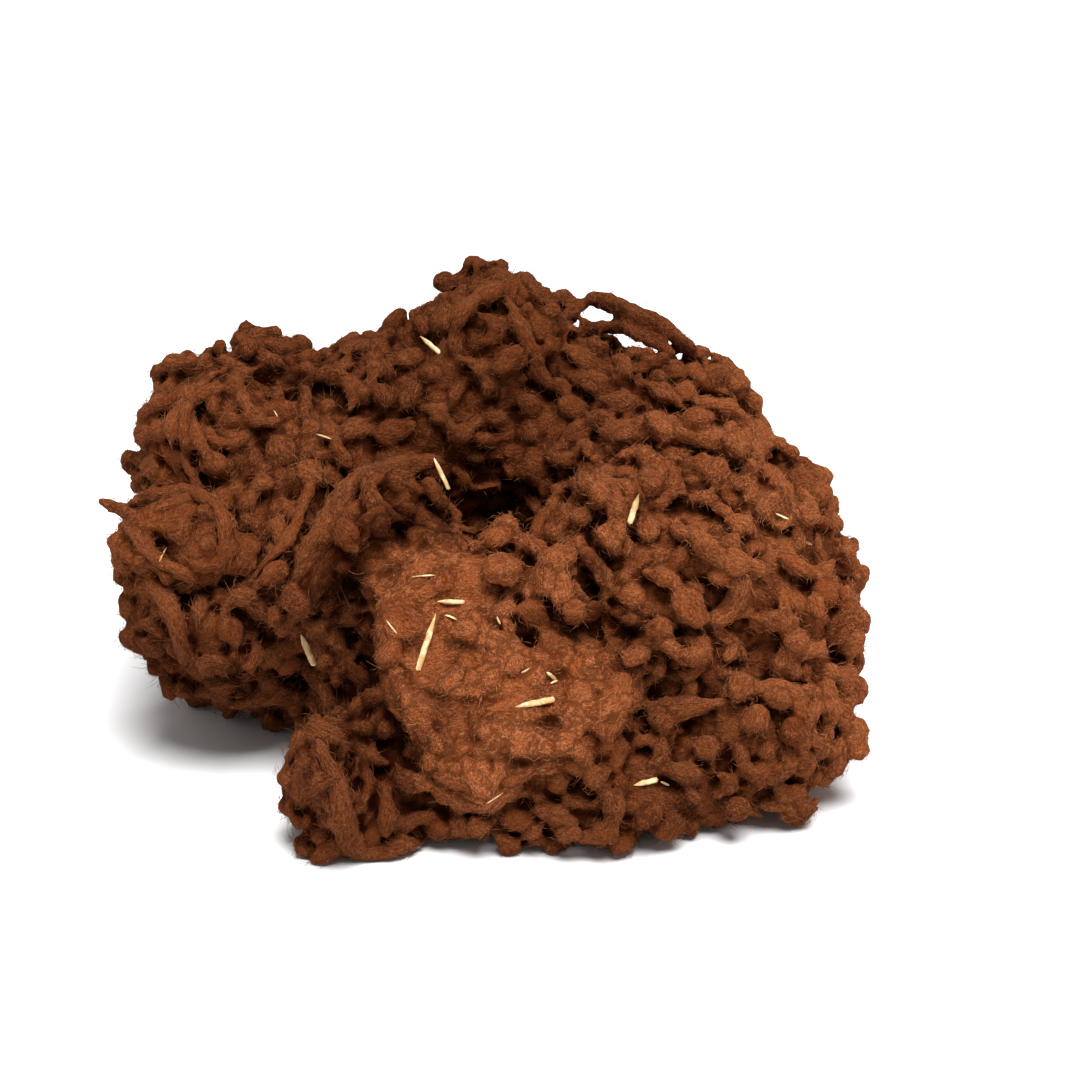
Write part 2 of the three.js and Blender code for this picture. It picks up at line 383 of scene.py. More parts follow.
@dataclass
class Surface:
    """A surface that small pieces are set on."""

    facets: Facets
    tree: BVHTree = field(init=False)
    point_normals: np.ndarray = field(init=False)

    def __post_init__(self) -> None:
        """Prepares the search tree and the normals."""
        self.tree = BVHTree.FromPolygons(self.facets.points.tolist(), self.facets.faces.tolist())
        self.point_normals = self.facets.normals()

    def openness(self, facets: Facets, reach: float = 6.0) -> np.ndarray:
        """Measures how free the space above each point is.

        Args:
            facets: The points.
            reach: How far away something still shades a point.

        Returns:
            From nought, shut in, to one, free.
        """
        normals = facets.normals()
        side = unit(np.cross(normals, (0.31, 0.52, 0.79)))
        other = np.cross(normals, side)
        starts = (facets.points + normals * 0.15).tolist()
        total = np.zeros(len(starts))
        tilts = [(0.0, 0.0)] + [(SIDE_TILT, SIDE_TURN * k) for k in range(SIDE_RAYS)]
        for tilt, turn in tilts:
            flat = side * math.cos(turn) + other * math.sin(turn)
            ways = (normals * math.cos(tilt) + flat * math.sin(tilt)).tolist()
            hits = [self.tree.ray_cast(start, way, reach)[3] for start, way in zip(starts, ways)]
            total += np.array([reach if hit is None else hit for hit in hits]) / reach
        return total / len(tilts)

    def scatter(self, count: int, chance: np.random.Generator) -> tuple[np.ndarray, np.ndarray, np.ndarray]:
        """Picks points evenly over the surface.

        Args:
            count: How many.
            chance: The source of chance.

        Returns:
            Points, normals, and tones with openness and fibre runs.
        """
        faces = self.facets.faces
        a, b, c = (self.facets.points[faces[:, k]] for k in range(3))
        areas = np.linalg.norm(np.cross(b - a, c - a), axis=1)
        chosen = faces[chance.choice(len(faces), count, p=areas / areas.sum())]
        share = chance.dirichlet((1, 1, 1), count)
        points = np.einsum("nk,nkd->nd", share, self.facets.points[chosen])
        normals = np.einsum("nk,nkd->nd", share, self.point_normals[chosen])
        opens = np.broadcast_to(self.facets.opens, len(self.facets.points))
        runs = np.broadcast_to(self.facets.runs, self.facets.points.shape)[chosen[:, 0]]
        marks = np.stack([self.facets.tones[chosen[:, 0]], opens[chosen[:, 0]], *runs.T], axis=1)
        return points, unit(normals), marks


@dataclass(frozen=True)
class Viewpoint:
    """The place that the heap is seen from, and its picture plane."""

    aim: Spot = (8.69, -0.47, 38.0)
    distance: float = 520.0
    elevation: float = 22.0
    focal: float = 2912.0
    sensor: float = 36.0
    search: float = 80.0
    searches: int = 81

    def axes(self) -> tuple[Spot, Spot]:
        """Gives the ways ahead and upward in the picture."""
        rise = math.radians(self.elevation)
        return (0, math.cos(rise), -math.sin(rise)), (0, math.sin(rise), math.cos(rise))

    def eye(self) -> Vector:
        """Gives the eye's place."""
        rise = math.radians(self.elevation)
        return Vector(self.aim) + Vector((0, -math.cos(rise), math.sin(rise))) * self.distance

    def ray(self, pixel: Pixel) -> Vector:
        """Gives the direction from the eye through a pixel of the square picture.

        Args:
            pixel: Pixels from the left and from the top.

        Returns:
            A unit vector.
        """
        ahead, upward = (Vector(way) for way in self.axes())
        middle = PICTURE_SIDE / 2
        across = (pixel[0] - middle) / self.focal
        above = (middle - pixel[1]) / self.focal
        return (ahead + Vector((across, 0, 0)) + upward * above).normalized()

    def pixels(self, points: np.ndarray) -> np.ndarray:
        """Gives the pixels that points are seen at.

        Args:
            points: The points.

        Returns:
            Pixels from the left and from the top.
        """
        rows = points - np.array(self.eye())
        depth, above = (rows @ np.array(way) for way in self.axes())
        middle = PICTURE_SIDE / 2
        across = middle + rows[:, 0] / depth * self.focal
        return np.stack([across, middle - above / depth * self.focal], axis=1)

    def landing(self, surface: Surface, pixel: Pixel, hold: float, rest: float) -> tuple[Vector, Vector]:
        """Finds where a pixel's ray meets a surface, or passes nearest to it.

        Args:
            surface: The surface.
            pixel: Pixels from the left and from the top.
            hold: How far off the surface a place may be where the ray misses it.
            rest: The least height above the floor.

        Returns:
            The place and the surface's normal.
        """
        eye, way = self.eye(), self.ray(pixel)
        place, normal, _, _ = surface.tree.ray_cast(eye, way)
        if place is None:
            near_end, far_end = self.distance - self.search, self.distance + self.search
            spots = [eye + way * reach for reach in np.linspace(near_end, far_end, self.searches)]
            spots = [spot for spot in spots if spot.z > rest * 0.6]
            found = [surface.tree.find_nearest(spot) for spot in spots]
            near, normal, _, gap = min(found, key=lambda row: row[3])
            spot = min(spots, key=lambda row: (row - near).length)
            place = near + (spot - near) * min(1.0, hold / max(gap, 0.001))
        place.z = max(place.z, rest)
        return place, normal


def evenly(pixels: tuple[Pixel, ...], count: int) -> list[Pixel]:
    """Spaces pixels evenly along a path.

    Args:
        pixels: The path's given pixels.
        count: How many are wanted.

    Returns:
        The evenly spaced pixels.
    """
    rows = np.array(pixels, dtype=float)
    reach = np.concatenate([[0], np.cumsum(np.linalg.norm(np.diff(rows, axis=0), axis=1))])
    wanted = np.linspace(0, reach[-1], count)
    across, down = (np.interp(wanted, reach, rows[:, k]).tolist() for k in range(2))
    return list(zip(across, down))


def new_group(
    name: str, inputs: list[tuple[str, str, object]], outputs: list[tuple[str, str]]
) -> bpy.types.NodeTree:
    """Starts a shader node group.

    Args:
        name: The group's name.
        inputs: Name, kind and first value of each input.
        outputs: Name and kind of each output.

    Returns:
        The group with its ends in place.
    """
    group = bpy.data.node_groups.new(name, "ShaderNodeTree")
    for label, kind, value in inputs:
        socket = group.interface.new_socket(label, in_out="INPUT", socket_type=kind)
        socket.default_value = value
    for label, kind in outputs:
        group.interface.new_socket(label, in_out="OUTPUT", socket_type=kind)
    group.nodes.new("NodeGroupInput")
    group.nodes.new("NodeGroupOutput")
    return group


def added(tree: bpy.types.NodeTree, kind: str, **settings: object) -> bpy.types.Node:
    """Adds a node with some of its properties set.

    Args:
        tree: The node tree.
        kind: The node's type name.
        settings: Properties set on the node.

    Returns:
        The node.
    """
    node = tree.nodes.new(kind)
    for name, value in settings.items():
        setattr(node, name, value)
    return node


def scaled_noise(
    tree: bpy.types.NodeTree, coords: bpy.types.NodeSocket, scale: object, **values: float
) -> bpy.types.NodeSocket:
    """Adds a noise texture.

    Args:
        tree: The node tree.
        coords: Where its coordinates come from.
        scale: A number, or a socket that gives one.
        values: Detail, Roughness or Distortion.

    Returns:
        The noise's value socket.
    """
    texture = added(tree, "ShaderNodeTexNoise")
    tree.links.new(coords, texture.inputs["Vector"])
    if isinstance(scale, bpy.types.NodeSocket):
        tree.links.new(scale, texture.inputs["Scale"])
    else:
        texture.inputs["Scale"].default_value = scale
    for name, value in values.items():
        texture.inputs[name].default_value = value
    return texture.outputs["Fac"]


def spread(
    tree: bpy.types.NodeTree, value: bpy.types.NodeSocket, low: float, high: float
) -> bpy.types.NodeSocket:
    """Maps a value between two bounds to nought to one.

    Args:
        tree: The node tree.
        value: The value's socket.
        low: What becomes nought.
        high: What becomes one.

    Returns:
        The mapped value's socket.
    """
    node = added(tree, "ShaderNodeMapRange", interpolation_type="SMOOTHSTEP")
    node.inputs["From Min"].default_value = low
    node.inputs["From Max"].default_value = high
    tree.links.new(value, node.inputs["Value"])
    return node.outputs["Result"]


def mixed(
    tree: bpy.types.NodeTree,
    share: bpy.types.NodeSocket,
    first: bpy.types.NodeSocket | Colour,
    second: bpy.types.NodeSocket | Colour,
) -> bpy.types.NodeSocket:
    """Mixes two colours.

    Args:
        tree: The node tree.
        share: How much of the second.
        first: The first colour, or its socket.
        second: The second colour, or its socket.

    Returns:
        The colour's socket.
    """
    node = added(tree, "ShaderNodeMix", data_type="RGBA")
    tree.links.new(share, node.inputs[0])
    for socket, colour in ((node.inputs[6], first), (node.inputs[7], second)):
        if isinstance(colour, bpy.types.NodeSocket):
            tree.links.new(colour, socket)
        else:
            socket.default_value = (*colour, 1.0)
    return node.outputs[2]


def reckoned(tree: bpy.types.NodeTree, how: str, first: object, second: object) -> bpy.types.NodeSocket:
    """Combines two values, either of which may be a plain number.

    Args:
        tree: The node tree.
        how: The operation, such as ADD.
        first: The first value.
        second: The second value.

    Returns:
        The value's socket.
    """
    node = added(tree, "ShaderNodeMath", operation=how)
    for socket, value in zip(node.inputs, (first, second)):
        if isinstance(value, bpy.types.NodeSocket):
            tree.links.new(value, socket)
        else:
            socket.default_value = value
    return node.outputs[0]


def new_material(name: str, values: dict[str, object]) -> bpy.types.Material:
    """Starts a material.

    Args:
        name: Its name.
        values: Values of its shader by their labels.

    Returns:
        The material with its shader in place.
    """
    material = bpy.data.materials.new(name)
    material.use_nodes = True
    for label, value in values.items():
        material.node_tree.nodes["Principled BSDF"].inputs[label].default_value = value
    return material


def bumped(
    tree: bpy.types.NodeTree, height: bpy.types.NodeSocket, strength: float, distance: float
) -> None:
    """Lets a material's shader take up a relief.

    Args:
        tree: The material's node tree.
        height: The relief's socket.
        strength: How strongly it shows.
        distance: How high it stands, in metres.
    """
    bump = added(tree, "ShaderNodeBump")
    bump.inputs["Strength"].default_value = strength
    bump.inputs["Distance"].default_value = distance
    tree.links.new(height, bump.inputs["Height"])
    tree.links.new(bump.outputs["Normal"], tree.nodes["Principled BSDF"].inputs["Normal"])


def along_fibres(tree: bpy.types.NodeTree) -> bpy.types.NodeSocket:
    """Gives coordinates that are drawn out along the fibres.

    Args:
        tree: The node tree.

    Returns:
        The coordinates' socket.
    """
    mapping = added(tree, "ShaderNodeMapping")
    mapping.inputs["Scale"].default_value = (FIBRE_STRETCH, 1.0, 1.0)
    grain = added(tree, "ShaderNodeAttribute", attribute_name="grain")
    tree.links.new(grain.outputs["Vector"], mapping.inputs["Vector"])
    return mapping.outputs[0]


def wool_tones() -> bpy.types.NodeTree:
    """Builds, once, the group that mottles dyed wool (shade, body, bright, russet) and paints light and
    shade into it.

    Returns:
        The node group.
    """
    if "wool_tones" in bpy.data.node_groups:
        return bpy.data.node_groups["wool_tones"]
    grey = (0.5, 0.5, 0.5, 1.0)
    inputs = [(label, "NodeSocketColor", grey) for label in ("Deep", "Shade", "Body", "Bright", "Russet")]
    inputs += [(label, "NodeSocketFloat", 0.5) for label in ("Tone", "Open", "Light")]
    inputs += [("Patches", "NodeSocketFloat", 120.0)]
    tree = new_group("wool_tones", inputs, [("Color", "NodeSocketColor")])
    ends = tree.nodes["Group Input"].outputs
    coords = added(tree, "ShaderNodeTexCoord").outputs["Object"]
    patches = scaled_noise(tree, coords, ends["Patches"], Detail=3.0)
    fine = {"Detail": 4.0, "Roughness": 0.7}
    streaks = scaled_noise(tree, along_fibres(tree), 2600.0, **fine, Distortion=STREAK_WANDER)
    matted = scaled_noise(tree, coords, 1700.0, **fine, Distortion=MATTED_WANDER)
    fibres = reckoned(tree, "ADD", streaks, matted)
    body = mixed(tree, spread(tree, patches, 0.34, 0.56), ends["Shade"], ends["Body"])
    toned = spread(tree, ends["Tone"], -0.5, 1.0)
    # Painted highlight: a tone raised on lump tops turns more fibres bright and russet.
    level = reckoned(tree, "MULTIPLY", spread(tree, fibres, 0.84, 1.26), toned)
    bright = mixed(tree, level, body, ends["Bright"])
    russet = mixed(tree, spread(tree, ends["Tone"], 0.7, 1.3), bright, ends["Russet"])
    # Painted shade: wool that is shut in, creased or in a darker zone is mixed towards the painted shade
    # colour.
    lit = reckoned(tree, "MULTIPLY", spread(tree, ends["Open"], 0.07, 0.72), ends["Light"])
    colour = mixed(tree, lit, ends["Deep"], russet)
    tree.links.new(colour, tree.nodes["Group Output"].inputs["Color"])
    return tree


def fibre_grain() -> bpy.types.NodeTree:
    """Builds, once, the group that gives the height of fine fibres crossing each other.

    Returns:
        The node group.
    """
    if "fibre_grain" in bpy.data.node_groups:
        return bpy.data.node_groups["fibre_grain"]
    inputs = [("Density", "NodeSocketFloat", 1400.0)]
    tree = new_group("fibre_grain", inputs, [("Height", "NodeSocketFloat")])
    density = tree.nodes["Group Input"].outputs["Density"]
    coords = added(tree, "ShaderNodeTexCoord").outputs["Object"]
    matted = scaled_noise(tree, coords, density, Detail=3.0, Distortion=MATTED_WANDER)
    streaks = scaled_noise(tree, along_fibres(tree), 2400.0, Detail=3.0, Distortion=STREAK_WANDER)
    height = reckoned(tree, "ADD", matted, reckoned(tree, "MULTIPLY", streaks, 0.7))
    tree.links.new(height, tree.nodes["Group Output"].inputs["Height"])
    return tree


@dataclass(frozen=True)
class WoolFinish:
    """Dyed merino: matte, mottled, with fine fibres."""

    name: str
    slot: Slot
    # deep: the colour of the painted shade in shut-in creases and crevices
    deep: Colour = (0.020, 0.0026, 0.0003)
    shade: Colour = (0.122, 0.0202, 0.0032)
    body: Colour = (0.240, 0.0540, 0.0118)
    bright: Colour = (0.560, 0.206, 0.084)
    russet: Colour = (0.300, 0.067, 0.018)
    patches: float = 120.0
    density: float = 1400.0
    bump: float = 0.9
    relief: float = 0.0008
    sheen: float = 0.01
    sheen_tint: Colour = (0.72, 0.42, 0.28)

    def material(self) -> bpy.types.Material:
        """Builds the material.

        Returns:
            The material.
        """
        values = {"Roughness": 0.95, "Specular IOR Level": 0.02, "Sheen Weight": self.sheen}
        values |= {"Sheen Roughness": 0.45, "Sheen Tint": (*self.sheen_tint, 1.0)}
        material = new_material(self.name, values)
        tree = material.node_tree
        tones = added(tree, "ShaderNodeGroup", node_tree=wool_tones())
        colours = {"Deep": self.deep, "Shade": self.shade, "Body": self.body}
        colours |= {"Bright": self.bright, "Russet": self.russet}
        for label, colour in colours.items():
            tones.inputs[label].default_value = (*colour, 1.0)
        tones.inputs["Patches"].default_value = self.patches
        for label in ("Tone", "Open", "Light"):
            mark = added(tree, "ShaderNodeAttribute", attribute_name=label.lower())
            tree.links.new(mark.outputs["Fac"], tones.inputs[label])
        tree.links.new(tones.outputs["Color"], tree.nodes["Principled BSDF"].inputs["Base Color"])
        grain = added(tree, "ShaderNodeGroup", node_tree=fibre_grain())
        grain.inputs["Density"].default_value = self.density
        bumped(tree, grain.outputs["Height"], self.bump, self.relief)
        return material


@dataclass(frozen=True)
class StrawFinish:
    """Dry straw: pale gold with darker streaks."""

    name: str = "dry_straw"
    slot: Slot = Slot.STRAW
    pale: Colour = (0.80, 0.60, 0.33)
    streak: Colour = (0.55, 0.33, 0.12)
    bump: float = 0.3
    relief: float = 0.0002

    def material(self) -> bpy.types.Material:
        """Builds the material.

        Returns:
            The material.
        """
        material = new_material(self.name, {"Roughness": 0.55})
        tree = material.node_tree
        coords = added(tree, "ShaderNodeTexCoord").outputs["Object"]
        streaks = spread(tree, scaled_noise(tree, coords, 700.0, Detail=3.0, Distortion=0.6), 0.42, 0.62)
        colour = mixed(tree, streaks, self.streak, self.pale)
        tree.links.new(colour, tree.nodes["Principled BSDF"].inputs["Base Color"])
        bumped(tree, streaks, self.bump, self.relief)
        return material


FELT = WoolFinish("felted_wool", Slot.MATTED)
NEPP_WOOL = WoolFinish("nepp_felt", Slot.NEPP, density=1700.0)
SLUB_WOOL = WoolFinish("slub_felt", Slot.SLUB, density=1600.0)
FUZZ_WOOL = WoolFinish(
    "fuzz_wool",
    Slot.MATTED,
    shade=(0.20, 0.047, 0.0115),
    body=(0.38, 0.118, 0.0410),
    bright=(0.70, 0.320, 0.165),
    bump=0.0,
)
STRAW = StrawFinish()


def settled(piece: bpy.types.Object, finish: WoolFinish | StrawFinish, nodes: tuple[str, ...] = ()) -> None:
    """Gives a piece its finish, its body and the nodes that it stands for, and reports it.

    Args:
        piece: The finished object.
        finish: Its finish.
        nodes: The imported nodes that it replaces.
    """
    known = bpy.data.materials.get(finish.name)
    piece.data.materials.clear()
    piece.data.materials.append(known or finish.material())
    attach(piece, "root")
    if nodes:
        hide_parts(*nodes)
    stands_for = ", ".join(nodes) or "no node"
    LOG.info("%s: %d faces, stands for %s", piece.name, len(piece.data.polygons), stands_for)


VIEW = Viewpoint()

# The outline of the flap of smoother felt at the front, in pixels of the picture.
FLAP_OUTLINE = np.array(
    (
        (357, 548), (368, 590), (380, 640), (398, 700), (425, 765), (452, 796), (490, 803),
        (522, 790), (562, 776), (602, 742), (632, 704), (640, 668), (612, 648), (576, 644),
        (534, 628), (498, 608), (474, 572), (450, 546), (400, 538),
    ),
    dtype=float,
)
FLAP_SOFTNESS = 26.0  # pixels over which the flap's edge fades out
FLAP_BACK = -12.0  # the flap lies in front of this depth
FLAP_LIGHT = 0.92  # painted light on the flap, which faces the lamp
FLAP_INSET = 0.7  # how far its skin is drawn in
FLAP_LIFT = 0.45  # share by which the painted shade in its pits is lifted


def flap_share(points: np.ndarray) -> np.ndarray:
    """Tells how far points at the front lie inside the flap's outline.

    Args:
        points: The points.

    Returns:
        From nought, outside, to one, well inside.
    """
    seen = VIEW.pixels(points)
    nearest = np.full(len(seen), np.inf)
    inside = np.zeros(len(seen), dtype=bool)
    for start, end in zip(FLAP_OUTLINE, np.roll(FLAP_OUTLINE, -1, axis=0)):
        way = end - start
        along = np.clip((seen - start) @ way / (way @ way), 0, 1)
        nearest = np.minimum(nearest, np.linalg.norm(seen - start - along[:, None] * way, axis=1))
        crosses = (start[1] > seen[:, 1]) != (end[1] > seen[:, 1])
        inside ^= crosses & (seen[:, 0] < start[0] + way[0] * (seen[:, 1] - start[1]) / (way[1] or 1e-9))
    share = np.clip(0.5 + np.where(inside, nearest, -nearest) / FLAP_SOFTNESS, 0, 1)
    return np.where(points[:, 1] < FLAP_BACK, share, 0)


# Creases in the flap: pixels along each, its depth in millimetres and its half width in pixels.
CREASE_STEPS = 40
CREASES = (
    (((398, 666), (415, 689), (443, 700), (481, 704), (515, 696)), 1.1, 5.0),
    (((447, 643), (470, 648), (500, 651)), 0.7, 4.0),
    (((417, 711), (443, 734), (455, 761)), 0.7, 4.5),
    (((511, 711), (526, 727), (541, 723), (570, 728)), 0.7, 4.0),
    (((470, 738), (500, 756), (526, 764), (572, 761)), 0.9, 4.5),
    (((387, 575), (402, 606), (417, 625)), 0.5, 4.0),
    (((470, 596), (490, 618), (520, 640), (560, 656)), 0.7, 4.5),
)


def creases(points: np.ndarray) -> np.ndarray:
    """Gives how far the creases press each point of the flap in.

    Args:
        points: The points.

    Returns:
        Millimetres.
    """
    share = flap_share(points)
    press = np.zeros(len(points))
    inside = share > 0
    seen = VIEW.pixels(points[inside])
    for pixels, depth, width in CREASES:
        gaps = clearance(seen, np.array(evenly(pixels, CREASE_STEPS)))
        press[inside] = np.maximum(press[inside], depth * np.exp(-((gaps / width) ** 2)))
    return press * share


@dataclass(frozen=True)
class Hollow:
    """A dark crevice that the picture shows: pixels along it, its depth and its half width."""

    name: str
    pixels: tuple[Pixel, ...]
    depth: float
    width: float


HOLLOWS = (
    Hollow("behind_flap_edge", ((342, 572), (343, 615), (347, 660), (359, 710), (384, 760)), 10.0, 4.6),
    Hollow("over_flap", ((378, 552), (394, 528), (430, 510), (470, 516), (510, 512)), 8.0, 4.0),
    Hollow("beside_nepps", ((530, 626), (570, 626), (602, 630)), 5.5, 2.6),
    Hollow("right_cleft", ((596, 560), (612, 590), (628, 625), (646, 642)), 6.0, 3.0),
    Hollow("under_lip", ((512, 800), (540, 796), (566, 786)), 6.0, 3.2),
    Hollow("left_cleft", ((330, 470), (322, 520), (300, 590), (268, 640)), 3.5, 2.6),
    Hollow("under_leaf", ((235, 560), (215, 590), (170, 585), (130, 560)), 3.0, 3.0),
    Hollow("crown_cleft", ((520, 330), (545, 380), (575, 400)), 3.0, 3.0),
    Hollow("left_rim_dip", ((266, 372), (282, 376), (298, 376)), 5.0, 3.0),
    Hollow("crown_top", ((455, 258), (510, 264), (560, 284)), 1.8, 9.0),
    Hollow("right_shoulder", ((790, 440), (830, 470)), 1.8, 8.0),
)


HOLLOW_STEPS = 12
HOLLOW_HOLD = 2.0  # how far off the skin a crevice's place may be
LEAST_REST = 0.5  # least height of a place above the floor


def hollow_spots(surface: Surface, view: Viewpoint) -> list[tuple[np.ndarray, float, float]]:
    """Finds the places of the crevices on the skins.

    Args:
        surface: The skins before carving.
        view: Where the picture is seen from.

    Returns:
        Points along each crevice, its depth and its half width.
    """
    spots = []
    for hollow in HOLLOWS:
        pixels = evenly(hollow.pixels, HOLLOW_STEPS)
        found = [view.landing(surface, pixel, HOLLOW_HOLD, LEAST_REST) for pixel in pixels]
        spots.append((np.array([place for place, _ in found]), hollow.depth, hollow.width))
    return spots


@dataclass(frozen=True)
class Zone:
    """A part of the heap: how many lumps lie on it, their run and girth, its painted shade and its bed."""

    middle: Spot
    reach: float
    nepps: float
    slubs: float
    flow: Spot
    girth: tuple[float, float]
    shade: float
    bed: float


# Each zone's shade is painted shade: the crown, the base and the undersides are made darker where less
# light falls.
ZONES = (
    Zone((-45.0, -8.0, 36.0), 30.0, 0.5, 1.0, (-0.55, 0.0, -0.85), (1.2, 2.5), 0.54, 1.4),
    Zone((2.0, -46.0, 32.0), 20.0, 0.9, 0.5, (1.0, 0.0, 0.1), (1.1, 2.3), 0.86, 1.9),
    Zone((45.0, -8.0, 34.0), 38.0, 1.0, 1.0, (1.0, 0.0, -0.45), (1.2, 2.9), 0.77, 2.1),
    Zone((4.0, 12.0, 72.0), 30.0, 0.9, 0.9, (1.0, 0.3, -0.3), (1.1, 2.4), 0.42, 1.9),
    Zone((10.0, 46.0, 25.0), 40.0, 1.0, 0.9, (1.0, 0.0, -0.3), (1.2, 2.6), 0.66, 2.0),
    Zone((30.0, -48.0, 6.0), 24.0, 1.0, 0.8, (1.0, 0.0, -0.2), (1.2, 2.5), 0.43, 1.7),
    Zone((-30.0, -35.0, 10.0), 22.0, 1.0, 0.9, (-0.2, 0.0, -1.0), (1.1, 2.3), 0.42, 1.6),
    Zone((-54.0, -18.0, 18.0), 20.0, 1.0, 0.8, (-0.3, 0.0, -1.0), (1.1, 2.3), 0.25, 1.6),
    Zone((-48.0, 24.0, 46.0), 20.0, 0.9, 0.9, (-0.5, 0.3, -0.6), (1.1, 2.5), 0.40, 1.6),
)


def zone_gaps(points: np.ndarray) -> np.ndarray:
    """Gives how far points are from each zone's middle, as shares of its reach."""
    gaps = [np.linalg.norm(points - np.array(zone.middle), axis=1) / zone.reach for zone in ZONES]
    return np.stack(gaps)


def blended(points: np.ndarray, values: list[float]) -> np.ndarray:
    """Gives a value at each point that runs smoothly from zone to zone.

    Args:
        points: The points.
        values: One value a zone.

    Returns:
        One value a point.
    """
    weights = np.exp(-3.0 * zone_gaps(points) ** 2) + 1e-9
    return np.array(values) @ weights / weights.sum(axis=0)


def lightness(points: np.ndarray) -> np.ndarray:
    """Gives the painted light at points: painted shade by zone, brightest on the flap."""
    light = blended(points, [zone.shade for zone in ZONES])
    return light + (FLAP_LIGHT - light) * flap_share(points)


def zones_of(points: np.ndarray) -> np.ndarray:
    """Finds the number of the zone that each point belongs to."""
    return np.argmin(zone_gaps(points), axis=0)


def clearance(points: np.ndarray, others: np.ndarray) -> np.ndarray:
    """Gives each point's distance to the nearest of some others."""
    return np.min(np.linalg.norm(points[:, None] - others[None], axis=2), axis=1)


@dataclass
class Packing:
    """The room that lumps take up on a skin, so that they lie side by side."""

    cell: float = 7.0
    gap: float = 0.35
    taken: dict[tuple[int, int, int], list[tuple[float, ...]]] = field(default_factory=dict)

    def home(self, spot: np.ndarray) -> tuple[int, int, int]:
        """Gives the cell that a place is in."""
        return (int(spot[0] // self.cell), int(spot[1] // self.cell), int(spot[2] // self.cell))

    def free(self, spots: np.ndarray, radius: float) -> bool:
        """Tells whether a lump at some places stays clear of the ones before it.

        Args:
            spots: Places along the lump.
            radius: Its radius.

        Returns:
            Whether it has room.
        """
        for spot in spots:
            i, j, k = self.home(spot)
            for key in ((i + a, j + b, k + c) for a in (-1, 0, 1) for b in (-1, 0, 1) for c in (-1, 0, 1)):
                for x, y, z, other in self.taken.get(key, ()):
                    reach = radius + other + self.gap
                    if (x - spot[0]) ** 2 + (y - spot[1]) ** 2 + (z - spot[2]) ** 2 < reach * reach:
                        return False
        return True

    def take(self, spots: np.ndarray, radius: float) -> None:
        """Books the room of a lump.

        Args:
            spots: Places along the lump.
            radius: Its radius.
        """
        for spot in spots:
            self.taken.setdefault(self.home(spot), []).append((*map(float, spot), float(radius)))


# Single nepps that the picture shows beside the flap: pixel, radius.
CLUSTER = (
    (498, 548, 2.6), (524, 552, 2.3), (552, 562, 2.5), (576, 558, 2.2), (508, 574, 2.8), (541, 580, 2.2),
    (538, 606, 2.6), (564, 597, 2.8), (586, 606, 2.2), (600, 578, 2.0),
)

# Single nepps that the picture shows at the rim and at the foot: pixel, radius.
KNOBS = (
    (602, 290, 1.8), (640, 303, 1.7), (445, 270, 1.4), (757, 398, 1.8), (838, 498, 1.8), (826, 470, 2.4),
    (880, 580, 2.4), (878, 622, 1.8), (866, 690, 2.2), (245, 328, 1.8), (256, 350, 2.2), (380, 308, 2.4),
    (124, 575, 2.2), (130, 606, 2.2), (136, 636, 2.2), (158, 664, 2.2), (166, 690, 2.4), (196, 700, 2.4),
    (308, 846, 2.2), (330, 858, 2.2), (444, 856, 2.0), (468, 860, 2.2), (560, 840, 2.2), (622, 846, 2.2),
    (690, 828, 2.0), (792, 830, 2.0), (816, 830, 2.2), (832, 764, 2.2), (856, 756, 2.2),
)


